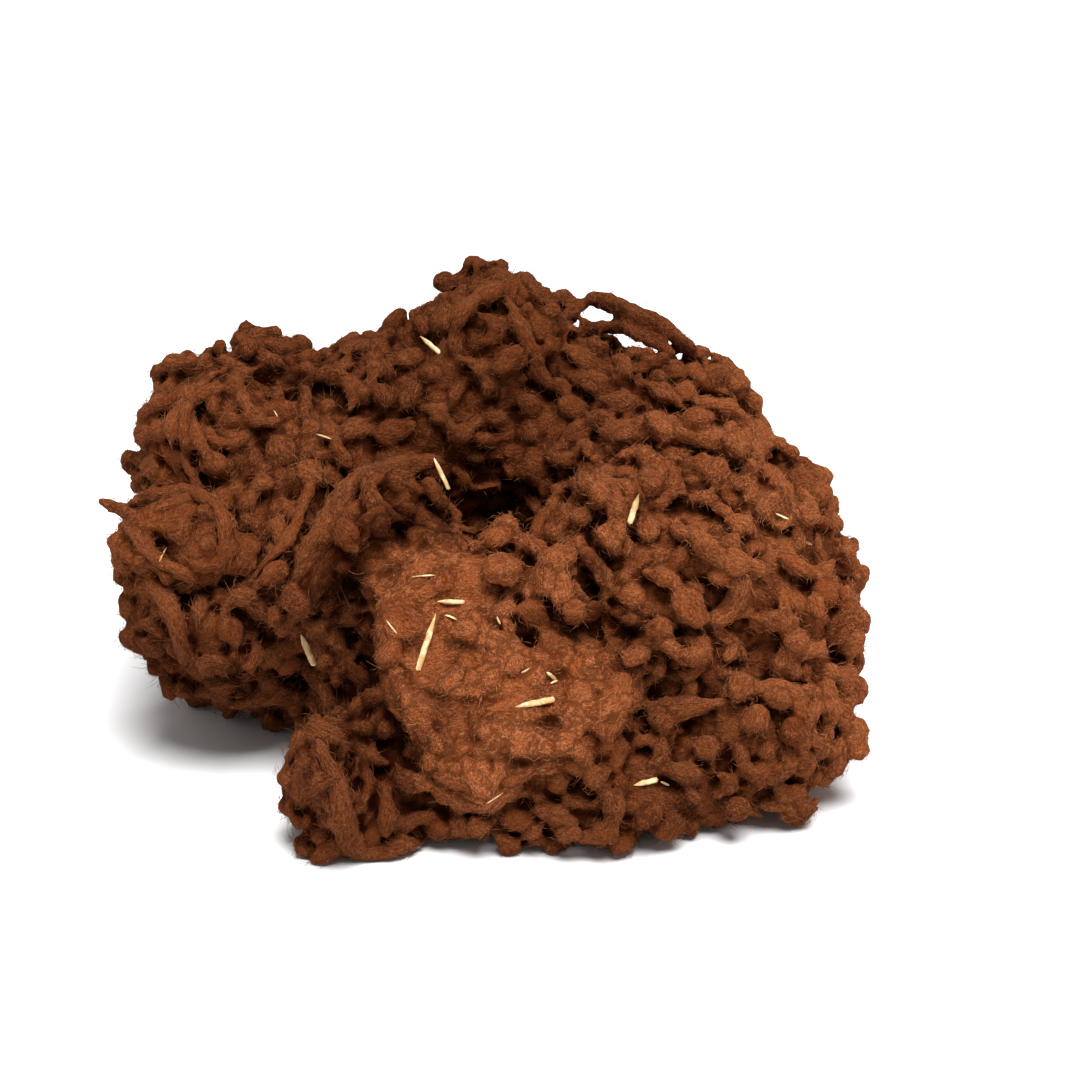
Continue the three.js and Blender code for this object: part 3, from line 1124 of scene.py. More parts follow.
@dataclass
class NeppCrust:
    """Small balls or flakes of wool that lie side by side on a body."""

    count: int
    lift: float
    seed: int
    everywhere: bool = False
    flat: bool = False
    loose: bool = False
    on_flap: bool = False
    kinds: int = 24
    tries: int = 7
    knobbly: float = 0.12

    def ball(self) -> Facets:
        """Models one round lump to copy.

        Returns:
            Its points, one millimetre in radius, and triangles.
        """
        bpy.ops.object.select_all(action="DESELECT")
        bpy.ops.mesh.primitive_ico_sphere_add(subdivisions=2, radius=MM)
        start = bpy.context.active_object
        ball = Facets.of_object(start)
        bpy.data.objects.remove(start)
        return ball

    def spread_on(self, carrier: Surface, keep_clear: np.ndarray, packing: Packing) -> Facets:
        """Sets the nepps on a skin, the largest first.

        Args:
            carrier: The skin.
            keep_clear: Points of the straws, which no nepp covers.
            packing: The room taken so far.

        Returns:
            All the nepps.
        """
        chance = np.random.default_rng(self.seed)
        tries = self.count * self.tries
        points, normals, _ = carrier.scatter(tries, chance)
        zone = zones_of(points)
        shares = np.array([z.nepps for z in ZONES])[zone]
        girths = np.array([z.girth for z in ZONES])[zone]
        radii = girths[:, 0] + (girths[:, 1] - girths[:, 0]) * chance.random(tries) ** 1.5
        fit = (chance.random(tries) < shares) | self.everywhere
        fit &= (points[:, 2] > 1.5) | (normals[:, 2] > -0.5)
        fit &= clearance(points, keep_clear) > radii * 1.5 + 0.6
        fit &= (flap_share(points) > 0.5) == self.on_flap
        order = np.flatnonzero(fit)
        order = order[np.argsort(-radii[order], kind="stable")] if not self.loose else order
        kept: list[int] = []
        for k in order.tolist():
            room = radii[k] * (1.5 if self.flat else 1.0)
            if len(kept) < self.count and (self.loose or packing.free(points[k : k + 1], room)):
                packing.take(points[k : k + 1], room)
                kept.append(k)
        points, normals, radii = points[kept], normals[kept], radii[kept]
        beds = np.array([z.bed for z in ZONES])[zone[kept]]
        rises = radii * self.lift * beds / 2.0 + chance.normal(0, 0.3, len(kept))
        return self.lumps(points + normals * rises[:, None], normals, radii)

    def single(self, carrier: Surface, view: Viewpoint, knobs: tuple[Spot, ...]) -> Facets:
        """Sets single nepps that the picture shows.

        Args:
            carrier: The smooth skin.
            view: Where the picture is seen from.
            knobs: The pixel and the radius of each.

        Returns:
            All the single nepps.
        """
        seen = [view.landing(carrier, knob[:2], knob[2] * 0.25, knob[2] * 0.7) for knob in knobs]
        points = np.array([place for place, _ in seen])
        normals = np.array([normal for _, normal in seen])
        radii = np.array([knob[2] for knob in knobs])
        return self.lumps(points + normals * (radii * self.lift)[:, None], normals, radii)

    def lumps(self, points: np.ndarray, normals: np.ndarray, radii: np.ndarray) -> Facets:
        """Shapes every nepp: squashed, turned and knobbly.

        Args:
            points: Their middles.
            normals: Which way is out.
            radii: Their radii.

        Returns:
            All their points and triangles.
        """
        chance = np.random.default_rng(self.seed + 1)
        ball = self.ball()
        count = len(points)
        sides = unit(np.cross(normals, unit(chance.normal(size=(count, 3)))))
        across = np.cross(normals, sides)
        waves = chance.normal(size=(self.kinds, 3, 3)) * 2.0
        phases = chance.random((self.kinds, 3)) * PHASES
        knobs = np.sin(np.einsum("pd,kwd->kpw", ball.points, waves) + phases[:, None, :]).sum(axis=2)
        models = ball.points[None] * (1 + self.knobbly * knobs[:, :, None])
        chosen = models[chance.integers(self.kinds, size=count)]
        long, wide = chance.uniform(0.9, 1.7, count), chance.uniform(0.8, 1.05, count)
        tall = chance.uniform(0.75, 1.0, count)
        if self.flat:
            long, wide, tall = long * 1.5, wide * 1.25, tall * 0.5
            normals = unit(normals + sides * chance.normal(0, 0.3, (count, 1)))
            across = unit(np.cross(normals, sides))
            sides = np.cross(across, normals)
        axes = np.stack([sides * long[:, None], across * wide[:, None], normals * tall[:, None]], axis=1)
        placed = points[:, None] + np.einsum("npk,nkd->npd", chosen, axes) * radii[:, None, None]
        local = chosen * np.stack([long, wide, tall], axis=1)[:, None] * radii[:, None, None]
        grain = local + chance.uniform(0, GRAIN_SHIFT, (count, 1, 3))
        tones = 0.8 * chance.beta(2.2, 2.2, count)
        return Facets.repeated(placed, ball.faces, tones, sides[:, None], grain)


def tubes(
    paths: np.ndarray,
    normals: np.ndarray,
    radii: np.ndarray,
    tones: np.ndarray,
    sides: int,
    flat: float,
    rough: float,
) -> Facets:
    """Wraps closed, slightly lumpy tubes round many paths of the same number of points.

    Args:
        paths: Tubes by points by 3.
        normals: The way out at each path point.
        radii: The radius at each path point.
        tones: One tone a tube.
        sides: Sides of each tube.
        flat: Height of the section as a share of its width.
        rough: How lumpy the sides are.

    Returns:
        All their points and triangles.
    """
    count, rings = paths.shape[:2]
    chance = np.random.default_rng(rings * 100 + sides)
    along = unit(np.gradient(paths, axis=1))
    right = unit(np.cross(along, normals))
    out = np.cross(right, along)
    turn = np.arange(sides) * (2 * math.pi / sides)
    step = np.linspace(0, 1, rings)
    phase = chance.random((count, 3, 1, 1)) * PHASES
    lumps = np.sin(2 * turn[None, None, :] + 9 * step[None, :, None] + phase[:, 0])
    lumps = lumps + np.sin(3 * turn[None, None, :] - 14 * step[None, :, None] + phase[:, 1])
    lumps = lumps + np.sin(23 * step[None, :, None] + turn[None, None, :] + phase[:, 2])
    reach = radii[:, :, None] * (1 + rough * lumps)
    wide, tall = np.cos(turn)[None, None, :, None], np.sin(turn)[None, None, :, None] * flat
    skin = paths[:, :, None] + reach[..., None] * (right[:, :, None] * wide + out[:, :, None] * tall)
    start = paths[:, 0] - along[:, 0] * radii[:, :1] * 0.5
    end = paths[:, -1] + along[:, -1] * radii[:, -1:] * 0.5
    points = np.concatenate([skin.reshape(count, -1, 3), np.stack([start, end], 1)], axis=1)
    ring = np.arange(sides)
    after = (ring + 1) % sides
    faces = []
    for k in range(rings - 1):
        low, high = k * sides, (k + 1) * sides
        faces.append(np.stack([low + ring, high + after, low + after], 1))
        faces.append(np.stack([low + ring, high + ring, high + after], 1))
    first, last = rings * sides, rings * sides + 1
    top = (rings - 1) * sides
    faces.append(np.stack([np.full(sides, first), ring, after], 1))
    faces.append(np.stack([np.full(sides, last), top + after, top + ring], 1))
    runs = np.concatenate([np.repeat(along, sides, axis=1), along[:, :1], along[:, -1:]], axis=1)
    length = np.linalg.norm(np.diff(paths, axis=1), axis=2).sum(axis=1)[:, None, None]
    rows = (length * step[None, :, None], reach * wide[..., 0], reach * tall[..., 0])
    grain = np.stack([np.broadcast_to(row, reach.shape) for row in rows], axis=3).reshape(count, -1, 3)
    grain = np.concatenate([grain, grain[:, :1], grain[:, -1:]], axis=1)
    grain = grain + chance.uniform(0, GRAIN_SHIFT, (count, 1, 3))
    return Facets.repeated(points, np.concatenate(faces), tones, runs, grain)


@dataclass
class SlubCrust:
    """Short curved rolls of wool that lie among the nepps of a body."""

    count: int
    lift: float
    seed: int
    bedding: float = 0.6
    loose: bool = False
    on_flap: bool = False
    rings: int = 14
    sides: int = 8
    tries: int = 5

    def spread_on(self, carrier: Surface, keep_clear: np.ndarray, packing: Packing) -> Facets:
        """Lays the slubs over a smooth skin, side by side or loosely across each other.

        Args:
            carrier: The smooth skin.
            keep_clear: Points of the straws, which no slub covers.
            packing: The room taken so far.

        Returns:
            All the slubs.
        """
        chance = np.random.default_rng(self.seed)
        tries = self.count * self.tries
        points, normals, _ = carrier.scatter(tries, chance)
        zone = zones_of(points)
        shares = np.array([z.slubs for z in ZONES])[zone]
        girths = np.array([z.girth for z in ZONES])[zone]
        radii = girths[:, 0] + (girths[:, 1] - girths[:, 0]) * chance.random(tries) * 0.65
        fit = (chance.random(tries) < shares) & (points[:, 2] > 2.5)
        paths, ways, thick = [], [], []
        for k in np.flatnonzero(fit).tolist():
            if len(paths) == self.count or not (self.loose or packing.free(points[k : k + 1], radii[k])):
                continue
            path, way = self.walk(carrier, points[k], normals[k], radii[k], ZONES[zone[k]], chance)
            if clearance(path, keep_clear).min() < radii[k] + 1.0:
                continue
            if (flap_share(path).mean() > 0.35) != self.on_flap:
                continue
            if self.loose or packing.free(path, radii[k] * 0.9):
                packing.take(path, radii[k] * 0.9)
                paths.append(path)
                ways.append(way)
                thick.append(radii[k])
        count = len(paths)
        step = np.linspace(-1, 1, self.rings)
        swell = np.maximum((1 - np.abs(step) ** 2.4) ** 0.6, 0.22)
        phases = chance.random((count, 1)) * PHASES
        waves = np.sin(phases + chance.uniform(4, 9, (count, 1)) * step[None])
        girths = np.array(thick)[:, None] * swell[None] * (1 + 0.26 * waves)
        tones = chance.beta(2.4, 2.4, count)
        return tubes(np.array(paths), np.array(ways), girths, tones, self.sides, 0.85, 0.08)

    def walk(
        self,
        carrier: Surface,
        start: np.ndarray,
        normal: np.ndarray,
        radius: float,
        zone: Zone,
        chance: np.random.Generator,
    ) -> tuple[np.ndarray, np.ndarray]:
        """Follows the skin from a point, in a gentle curve.

        Args:
            carrier: The smooth skin.
            start: Where it starts.
            normal: The way out there.
            radius: The slub's radius.
            zone: The zone whose flow it mostly takes.
            chance: The source of chance.

        Returns:
            The path's points and the ways out.
        """
        length = radius * chance.uniform(4.5, 10.0)
        rise = radius * self.lift * chance.uniform(0.7, 1.3) + self.bedding
        bend = chance.normal(0, 0.3)
        way = Vector(zone.flow) + Vector(chance.normal(0, 0.55, 3))
        spot, out = Vector(start), Vector(normal)
        path, outs = [], []
        for _ in range(self.rings):
            path.append(spot + out * rise)
            outs.append(out)
            way = way - out * way.dot(out)
            way = (way.normalized() + out.cross(way.normalized()) * bend).normalized()
            found, facing, _, _ = carrier.tree.find_nearest(spot + way * (length / (self.rings - 1)))
            spot = found
            out = (out * 2 + facing).normalized()
        return eased(np.array(path), 2), np.array(outs)


@dataclass(frozen=True)
class Strand:
    """A roll of wool that the picture shows.

    It has pixels along it, its thickness, its lift as a share of that, its tone, and how far off the
    wool it may be where it stands past the heap's outline.
    """

    name: str
    pixels: tuple[Pixel, ...]
    thick: float
    lift: float = 0.3
    tone: float = 0.5
    hold: float = 1.0


STRANDS = (
    Strand(
        "flap_edge", ((356, 545), (366, 585), (379, 635), (396, 697), (423, 765), (450, 798)),
        1.5, 0.6, 0.95,
    ),
    Strand("flap_lip", ((428, 780), (455, 796), (490, 800), (520, 786)), 3.6, 0.3, 0.7),
    Strand("left_loop", ((236, 372), (205, 384), (190, 413), (190, 476), (215, 494)), 2.2, 0.6, 0.8),
    Strand(
        "leaf_rim_top", ((128, 510), (150, 498), (180, 498), (210, 508), (224, 530), (220, 556)),
        3.2, 0.5, 0.75,
    ),
    Strand("leaf_rim_low", ((128, 514), (134, 534), (158, 558), (205, 578)), 2.6, 0.4, 0.55),
    Strand("leaf_tip", ((150, 526), (124, 512), (97, 500)), 2.8, 0.0, 0.6, 7.0),
    Strand("hanging_a", ((140, 570), (166, 602), (184, 632), (190, 660)), 3.8, 0.4, 0.7),
    Strand("hanging_b", ((222, 556), (203, 590), (196, 625)), 2.6, 0.3, 0.5),
    Strand("left_thread", ((317, 451), (306, 500), (294, 534), (272, 566), (240, 584)), 2.2, 0.6, 0.8),
    Strand(
        "long_rope", ((440, 460), (400, 474), (354, 498), (332, 527), (302, 574), (270, 632)),
        5.4, 0.4, 0.6,
    ),
    Strand("tuft_a", ((300, 420), (308, 392), (326, 380), (340, 392)), 2.6, 0.6, 0.55),
    Strand(
        "rim_loop_a",
        ((556, 330), (575, 306), (600, 292), (636, 300), (662, 324), (690, 348), (716, 380)),
        3.6, 0.0, 0.35, 7.0,
    ),
    Strand(
        "rim_loop_b", ((566, 336), (592, 328), (622, 326), (650, 338), (676, 356)),
        3.0, 0.0, 0.35, 7.0,
    ),
    Strand(
        "foot_rope", ((317, 742), (324, 768), (335, 800), (352, 846), (392, 856), (424, 845)),
        4.2, 0.3, 0.5,
    ),
    Strand("hanging_tuft", ((528, 826), (533, 848), (537, 866)), 1.9, 0.2, 0.5),
    Strand("crown_roll", ((505, 300), (520, 330), (540, 372), (552, 392)), 3.2, 0.3, 0.4),
)


@dataclass
class Strands:
    """The longer rolls that the picture shows, each at its own place on the heap."""

    rings: int = 22
    sides: int = 8
    flat: float = 0.9
    rough: float = 0.1
    easing: int = 4

    def laid_on(self, carrier: Surface, view: Viewpoint) -> Facets:
        """Lays every strand on the smooth skin.

        Args:
            carrier: The smooth skin.
            view: Where the picture is seen from.

        Returns:
            All the strands.
        """
        paths, ways, radii, tones = [], [], [], []
        step = np.linspace(-1, 1, self.rings)
        swell = np.maximum((1 - np.abs(step) ** 3) ** 0.5, 0.25)
        for strand in STRANDS:
            pixels = evenly(strand.pixels, self.rings)
            found = [view.landing(carrier, pixel, strand.hold, strand.thick * 0.4) for pixel in pixels]
            spots = eased(np.array([place for place, _ in found]), self.easing)
            outs = unit(eased(np.array([normal for _, normal in found]), self.easing))
            paths.append(spots + outs * strand.thick * strand.lift)
            ways.append(outs)
            radii.append(strand.thick / 2 * swell)
            tones.append(strand.tone)
        rows = (np.array(row) for row in (paths, ways, radii, tones))
        return tubes(*rows, self.sides, self.flat, self.rough)


@dataclass(frozen=True)
class Shading:
    """How dark the painted shade in creases and crevices is, and how strong the painted highlight on the
    tops of lumps is.
    """

    near_rounds: int = 3
    wide_rounds: int = 14
    plain: float = 0.82
    near: float = 1.3
    wide: float = 0.35
    least: float = 0.1
    most: float = 1.15
    crevice_depth: float = 4.0
    crevice_dark: float = 0.72
    crevice_spread: float = 0.5
    # painted highlight on the tops of lumps, carried in their tone
    tone_gain: float = 0.7
    tone_limit: float = 0.4


SHADING = Shading()


@dataclass
class FeltBody:
    """The wool of one or more solids: drawn in, carved, covered with lumps and felted into one skin."""

    name: str
    nodes: tuple[str, ...]
    finish: WoolFinish
    relief: Relief
    voxel: float
    inset: float
    layers: tuple[NeppCrust | SlubCrust, ...] = ()
    cuts: tuple[float, ...] = ()
    base_voxel: float = 1.3
    smoothing: int = 6
    grown: float = 0.35
    coarse: float = 0.4
    fine: float = 0.28
    carrier: Facets = field(init=False)
    whole: bpy.types.Object = field(init=False)
    skin: Facets = field(init=False)

    def start(self, sources: dict[str, bpy.types.Object]) -> None:
        """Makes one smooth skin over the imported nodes.

        Args:
            sources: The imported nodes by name.
        """
        parts = []
        for node in self.nodes:
            copy = merged_copy(node + "_copy", sources[node])
            part = Facets.of_object(copy)
            part.points = part.points + part.normals() * self.grown
            parts.append(part)
            bpy.data.objects.remove(copy)
        base = Facets.joined(parts).piece(self.name + "_base")
        applied(base, "REMESH", mode="VOXEL", voxel_size=self.base_voxel * MM)
        applied(base, "SMOOTH", factor=0.5, iterations=self.smoothing)
        self.carrier = Facets.of_object(base)
        bpy.data.objects.remove(base)

    def carve(self, spots: list[tuple[np.ndarray, float, float]]) -> None:
        """Draws the skin in, to leave room for the lumps, and presses the crevices into it.

        Args:
            spots: Points along each crevice, its depth and its half width.
        """
        points, normals = self.carrier.points, self.carrier.normals()
        inset = np.full(len(points), self.inset + self.grown)
        if self.relief is Relief.LUMPY:
            inset = blended(points, [zone.bed for zone in ZONES]) + self.grown
            inset = inset + (FLAP_INSET + self.grown - inset) * flap_share(points)
        depth = inset
        for places, deep, wide in spots if self.relief is Relief.LUMPY else ():
            near = np.exp(-((clearance(points, places) / wide) ** 2))
            depth = np.maximum(depth, inset + deep * near)
        self.carrier.points = points - normals * depth[:, None]

    def bed(self) -> Facets:
        """Raises the drawn-in skin unevenly, as the bed that the lumps lie on.

        Returns:
            The bed with its tones and the way its fibres run.
        """
        rise = self.height(self.carrier.points)
        raised = self.carrier.points + self.carrier.normals() * rise[:, None]
        tones = np.clip(0.4 + 0.3 * cloud(raised, 14.0), 0, 0.7)
        flow = unit(np.array([zone.flow for zone in ZONES]))[zones_of(raised)]
        along = np.einsum("nd,nd->n", raised, flow)
        rest = raised - along[:, None] * flow
        grain = np.stack([along, rest[:, 0] + rest[:, 1], rest[:, 2]], axis=1)
        return Facets(raised, self.carrier.faces, tones, runs=flow, grain=grain)

    def felt(self, keep_clear: np.ndarray, extra: list[Facets]) -> None:
        """Covers the skin with its lumps and felts all of it into one closed skin.

        Args:
            keep_clear: Points of the straws, which no lump covers.
            extra: Strands and single nepps that belong to this body.
        """
        surface = Surface(self.carrier)
        parts = [self.bed(), *extra]
        packing = Packing()
        for part in extra[:2]:
            packing.take(part.points, 0.0)
        parts += [layer.spread_on(surface, keep_clear, packing) for layer in self.layers]
        loose = Facets.joined(parts)
        self.whole = loose.piece(self.name)
        applied(self.whole, "REMESH", mode="VOXEL", voxel_size=self.voxel * MM)
        if self.cuts:
            self.freed()
        applied(self.whole, "SMOOTH", factor=0.5, iterations=1)
        self.skin = roughened(Facets.of_object(self.whole), self.coarse, self.fine)
        press = creases(self.skin.points)
        self.skin.points = self.skin.points - self.skin.normals() * press[:, None]
        self.skin.points[:, 2] = np.maximum(self.skin.points[:, 2], FLOOR_CLEARANCE)
        self.whole.data.vertices.foreach_set("co", (self.skin.points * MM).ravel())
        self.whole.data.update()
        self.take_marks(loose)

    def take_marks(self, loose: Facets) -> None:
        """Carries the tones, the fibre runs and the grain of the loose lumps to the felted skin.

        Args:
            loose: The lumps before felting.
        """
        tree = Surface(loose).tree
        found = [tree.find_nearest(point) for point in self.skin.points.tolist()]
        rows = loose.faces[[hit[2] for hit in found]]
        self.skin.tones = loose.tones[rows[:, 0]]
        self.skin.runs = loose.runs[rows[:, 0]]
        self.skin.grain = loose.grain_at(rows, np.array([hit[0] for hit in found]))

    def freed(self) -> None:
        """Removes the shut pockets that the remeshing leaves inside the wool."""
        highest = int(np.argmax(read(self.whole.data.vertices, "co")[:, 2]))
        bpy.ops.object.mode_set(mode="EDIT")
        bpy.ops.mesh.select_all(action="DESELECT")
        bpy.ops.object.mode_set(mode="OBJECT")
        self.whole.data.vertices[highest].select = True
        bpy.ops.object.mode_set(mode="EDIT")
        bpy.ops.mesh.select_linked()
        bpy.ops.mesh.select_all(action="INVERT")
        bpy.ops.mesh.delete(type="VERT")
        bpy.ops.object.mode_set(mode="OBJECT")

    def parted(self) -> list[bpy.types.Object]:
        """Cuts the closed skin into closed slabs side by side, each marked like the skin it comes from.

        Returns:
            The slabs from left to right.
        """
        tree = kdtree.KDTree(len(self.skin.points))
        for row, point in enumerate(self.skin.points):
            tree.insert(point, row)
        tree.balance()
        edges = (-CUTTER_REACH, *self.cuts, CUTTER_REACH)
        slabs = []
        for side, low, high in zip(("left", "middle", "right"), edges, edges[1:]):
            bpy.ops.object.select_all(action="DESELECT")
            middle = ((low + high) / 2 * MM, 0.0, CUTTER_REACH / 2 * MM)
            bpy.ops.mesh.primitive_cube_add(size=1.0, location=middle)
            cutter = bpy.context.active_object
            cutter.scale = ((high - low) * MM, 2 * CUTTER_REACH * MM, 2 * CUTTER_REACH * MM)
            slab = linked(f"{self.name}_{side}", self.whole.data.copy())
            applied(slab, "BOOLEAN", operation="INTERSECT", object=cutter, solver="MANIFOLD")
            bpy.data.objects.remove(cutter)
            self.mark_slab(slab.data, tree)
            slabs.append(slab)
        bpy.data.objects.remove(self.whole)
        return slabs

    def mark_slab(self, mesh: bpy.types.Mesh, tree: kdtree.KDTree) -> None:
        """Carries the marks of the skin to a slab of it, and keeps the cut faces flat.

        Args:
            mesh: The slab.
            tree: The points of the skin.
        """
        points = read(mesh.vertices, "co") / MM
        rows = np.array([tree.find(point)[1] for point in points])
        names = ("tones", "opens", "runs", "grain")
        marks = {name: getattr(self.skin, name)[rows] for name in names}
        replace(self.skin, points=points, **marks).mark(mesh)
        facing = np.abs(read(mesh.polygons, "normal")[:, 0])
        middles = read(mesh.polygons, "center")[:, 0] / MM
        off = np.min([np.abs(middles - cut) for cut in self.cuts], axis=0)
        mesh.polygons.foreach_set("use_smooth", (facing < CUT_FACING) | (off > CUT_NEARNESS))

    def height(self, points: np.ndarray) -> np.ndarray:
        """Gives how far each point of the smooth skin is raised below the lumps.

        Args:
            points: Points of the smooth skin.

        Returns:
            One height a point.
        """
        if self.relief is Relief.LUMPY:
            domes = 1.6 * cell_domes(points, 12.0) + 0.9 * cell_domes(points, 5.4)
            domes = domes + 0.6 * cloud(points, 3.6) - 0.9
            felt = 0.6 * self.wrinkles(points) + 0.9 * cloud(points, 4.0) - 0.2
            return domes + (felt - domes) * flap_share(points)
        if self.relief is Relief.WRINKLED:
            return 1.6 * self.wrinkles(points) + 0.8 * cloud(points, 4.0) - 0.3
        return 0.5 * cloud(points, 2.6)

    def wrinkles(self, points: np.ndarray) -> np.ndarray:
        """Gives ridges that lie across, with narrow creases between them.

        Args:
            points: Points of the smooth skin.

        Returns:
            From about minus one in a crease to one on a ridge.
        """
        lying = np.array((0.35, 1.0, 1.0))
        return np.clip(1.0 - 2.6 * np.abs(cloud(points * lying + 31.0, 6.0)), -0.7, 1)

    def dress(self, wool: Surface, spots: list[tuple[np.ndarray, float, float]]) -> None:
        """Paints shade into the creases and crevices and a highlight onto the tops of the lumps, and gives
        the pieces their finish.

        Args:
            wool: Everything woollen, as one surface.
            spots: Points along each crevice, its depth and its half width.
        """
        points, how = self.skin.points, SHADING
        near, wide = (standing(self.skin, rounds) for rounds in (how.near_rounds, how.wide_rounds))
        # Painted shade and highlight: creases darker, tops of lumps brighter, by how far points stand out.
        shade = np.clip(how.plain + how.near * near + how.wide * wide, how.least, how.most)
        # Painted shade in the deep crevices.
        for places, deep, width in spots:
            if deep > how.crevice_depth:
                gaps = clearance(points, places) / (width + how.crevice_spread * deep)
                shade = shade * (1 - how.crevice_dark * np.exp(-(gaps**2)))
        # Painted shade where a point is shut in, partly lifted on the flap.
        opens = wool.openness(self.skin) * shade
        self.skin.opens = opens + np.clip(1 - opens, 0, 1) * FLAP_LIFT * flap_share(points)
        # Painted highlight: the tone of lump tops is raised, so they come out brighter.
        lighter = how.tone_gain * np.clip(near, -how.tone_limit, how.tone_limit)
        self.skin.tones = np.clip(self.skin.tones + lighter, 0, 1)
        if not self.cuts:
            self.skin.mark(self.whole.data)
            self.whole.data.shade_smooth()
        for piece in self.parted() if self.cuts else [self.whole]:
            settled(piece, self.finish, self.nodes)


@dataclass
class Fuzz:
    """The fine fibres that stand off the wool: a short nap and a few long hairs."""

    nap: int = 69000
    nap_least: float = 1.1
    nap_spread: float = 2.4
    nap_girth: tuple[float, float] = (0.03, 0.058)
    left_side: float = -25.0
    left_length: float = 1.2
    hairs: int = 260
    hair_rings: int = 6
    hair_sides: int = 3
    hair_length: tuple[float, float] = (1.5, 4.0)
    hair_girth: tuple[float, float] = (0.05, 0.025)
    least_open: float = 0.25
    least_height: float = 1.0
    seed: int = 37

    def build(self, wool: Surface) -> None:
        """Plants the fibres on bare wool.

        Args:
            wool: Everything woollen, as one surface.
        """
        chance = np.random.default_rng(self.seed)
        points, normals, marks = wool.scatter(self.nap * 3, chance)
        fit = (marks[:, 1] > self.least_open) & (points[:, 2] > self.least_height)
        points, normals, marks = points[fit], normals[fit], marks[fit]
        hairs = slice(0, self.hairs)
        nap = slice(self.hairs, self.hairs + self.nap)
        self.plant_nap(points[nap], normals[nap], marks[nap], chance)
        self.plant_hairs(points[hairs], normals[hairs], chance)

    def plant_nap(
        self, points: np.ndarray, normals: np.ndarray, marks: np.ndarray, chance: np.random.Generator
    ) -> None:
        """Makes the short nap: each fibre is a thin bent spindle.

        Args:
            points: The roots.
            normals: The ways out.
            marks: The tones, openness and fibre runs of the wool below.
            chance: The source of chance.
        """
        count = len(points)
        lying = marks[:, 2:5] * chance.choice((-1, 1), (count, 1))
        lying = lying + 0.4 * chance.normal(size=(count, 3))
        lying = lying - normals * np.einsum("nd,nd->n", lying, normals)[:, None]
        lean = unit(unit(lying) + normals * chance.uniform(0.02, 0.24, (count, 1)))
        length = self.nap_least + self.nap_spread * chance.random(count) ** 1.6
        length = length * np.where(points[:, 0] < self.left_side, self.left_length, 1.0)
        length = length[:, None]
        curl = chance.normal(size=(count, 3)) * 0.2
        middle = points + lean * length * 0.5 + curl * length * 0.5
        tip = points + lean * length + curl * length * -0.3
        side = unit(np.cross(lean, normals + 0.01))
        other = np.cross(side, lean)
        thick = chance.uniform(*self.nap_girth, count)[:, None]
        turn = [(math.cos(angle), math.sin(angle)) for angle in (0.0, 2.094, 4.189)]
        ring = [middle + (side * c + other * s) * thick for c, s in turn]
        shapes = np.stack([points - normals * 0.1, *ring, tip], axis=1)
        faces = np.array([(0, 2, 1), (0, 3, 2), (0, 1, 3), (4, 1, 2), (4, 2, 3), (4, 3, 1)])
        lit = np.clip(marks[:, 0] * 0.6 + chance.uniform(0, 0.4, count), 0, 0.7)
        thirds = np.array_split(np.arange(count), 3)
        for name, part in zip(("nap_a", "nap_b", "nap_c"), thirds):
            fibres = Facets.repeated(shapes[part], faces, lit[part], np.zeros(3), shapes[part])
            fibres.opens = np.repeat(marks[part, 1], shapes.shape[1])
            settled(fibres.piece(name), FUZZ_WOOL)

    def plant_hairs(self, points: np.ndarray, normals: np.ndarray, chance: np.random.Generator) -> None:
        """Makes the long hairs: each is a thin curved thread close to the wool.

        Args:
            points: The roots.
            normals: The ways out.
            chance: The source of chance.
        """
        count = len(points)
        lean = unit(normals * 0.45 + unit(chance.normal(size=(count, 3))))
        length = chance.uniform(*self.hair_length, count)
        curl = np.clip(chance.normal(size=(count, 3)), -1.5, 1.5) * 0.5
        step = np.linspace(0, 1, self.hair_rings)[None, :, None]
        drift = lean[:, None] * step + curl[:, None] * step**2
        paths = points[:, None] + drift * length[:, None, None]
        ways = np.broadcast_to(unit(normals + 0.013)[:, None], paths.shape)
        radii = np.linspace(*self.hair_girth, self.hair_rings)[None] * np.ones((count, 1))
        tones = chance.uniform(0.3, 0.7, count)
        threads = tubes(paths, ways, radii, tones, self.hair_sides, 1.0, 0.0)
        settled(threads.piece("hairs"), FUZZ_WOOL)


# Bits of chaff that the picture shows lying on the wool: both ends' pixels and the width in millimetres.
CHAFF = (
    ((412, 578), (436, 576), 0.35), ((445, 616), (457, 621), 0.5), ((387, 620), (398, 634), 0.3),
    ((497, 616), (501, 624), 0.4), ((520, 672), (529, 667), 0.45), ((546, 672), (556, 680), 0.6),
    ((550, 684), (557, 681), 0.4), ((660, 781), (669, 785), 0.4), ((338, 715), (354, 728), 0.3),
    ((160, 562), (167, 548), 0.35), ((273, 410), (277, 417), 0.35), ((316, 434), (331, 439), 0.35),
    ((775, 513), (788, 519), 0.35), ((798, 538), (812, 545), 0.4), ((486, 803), (503, 792), 0.25),
)


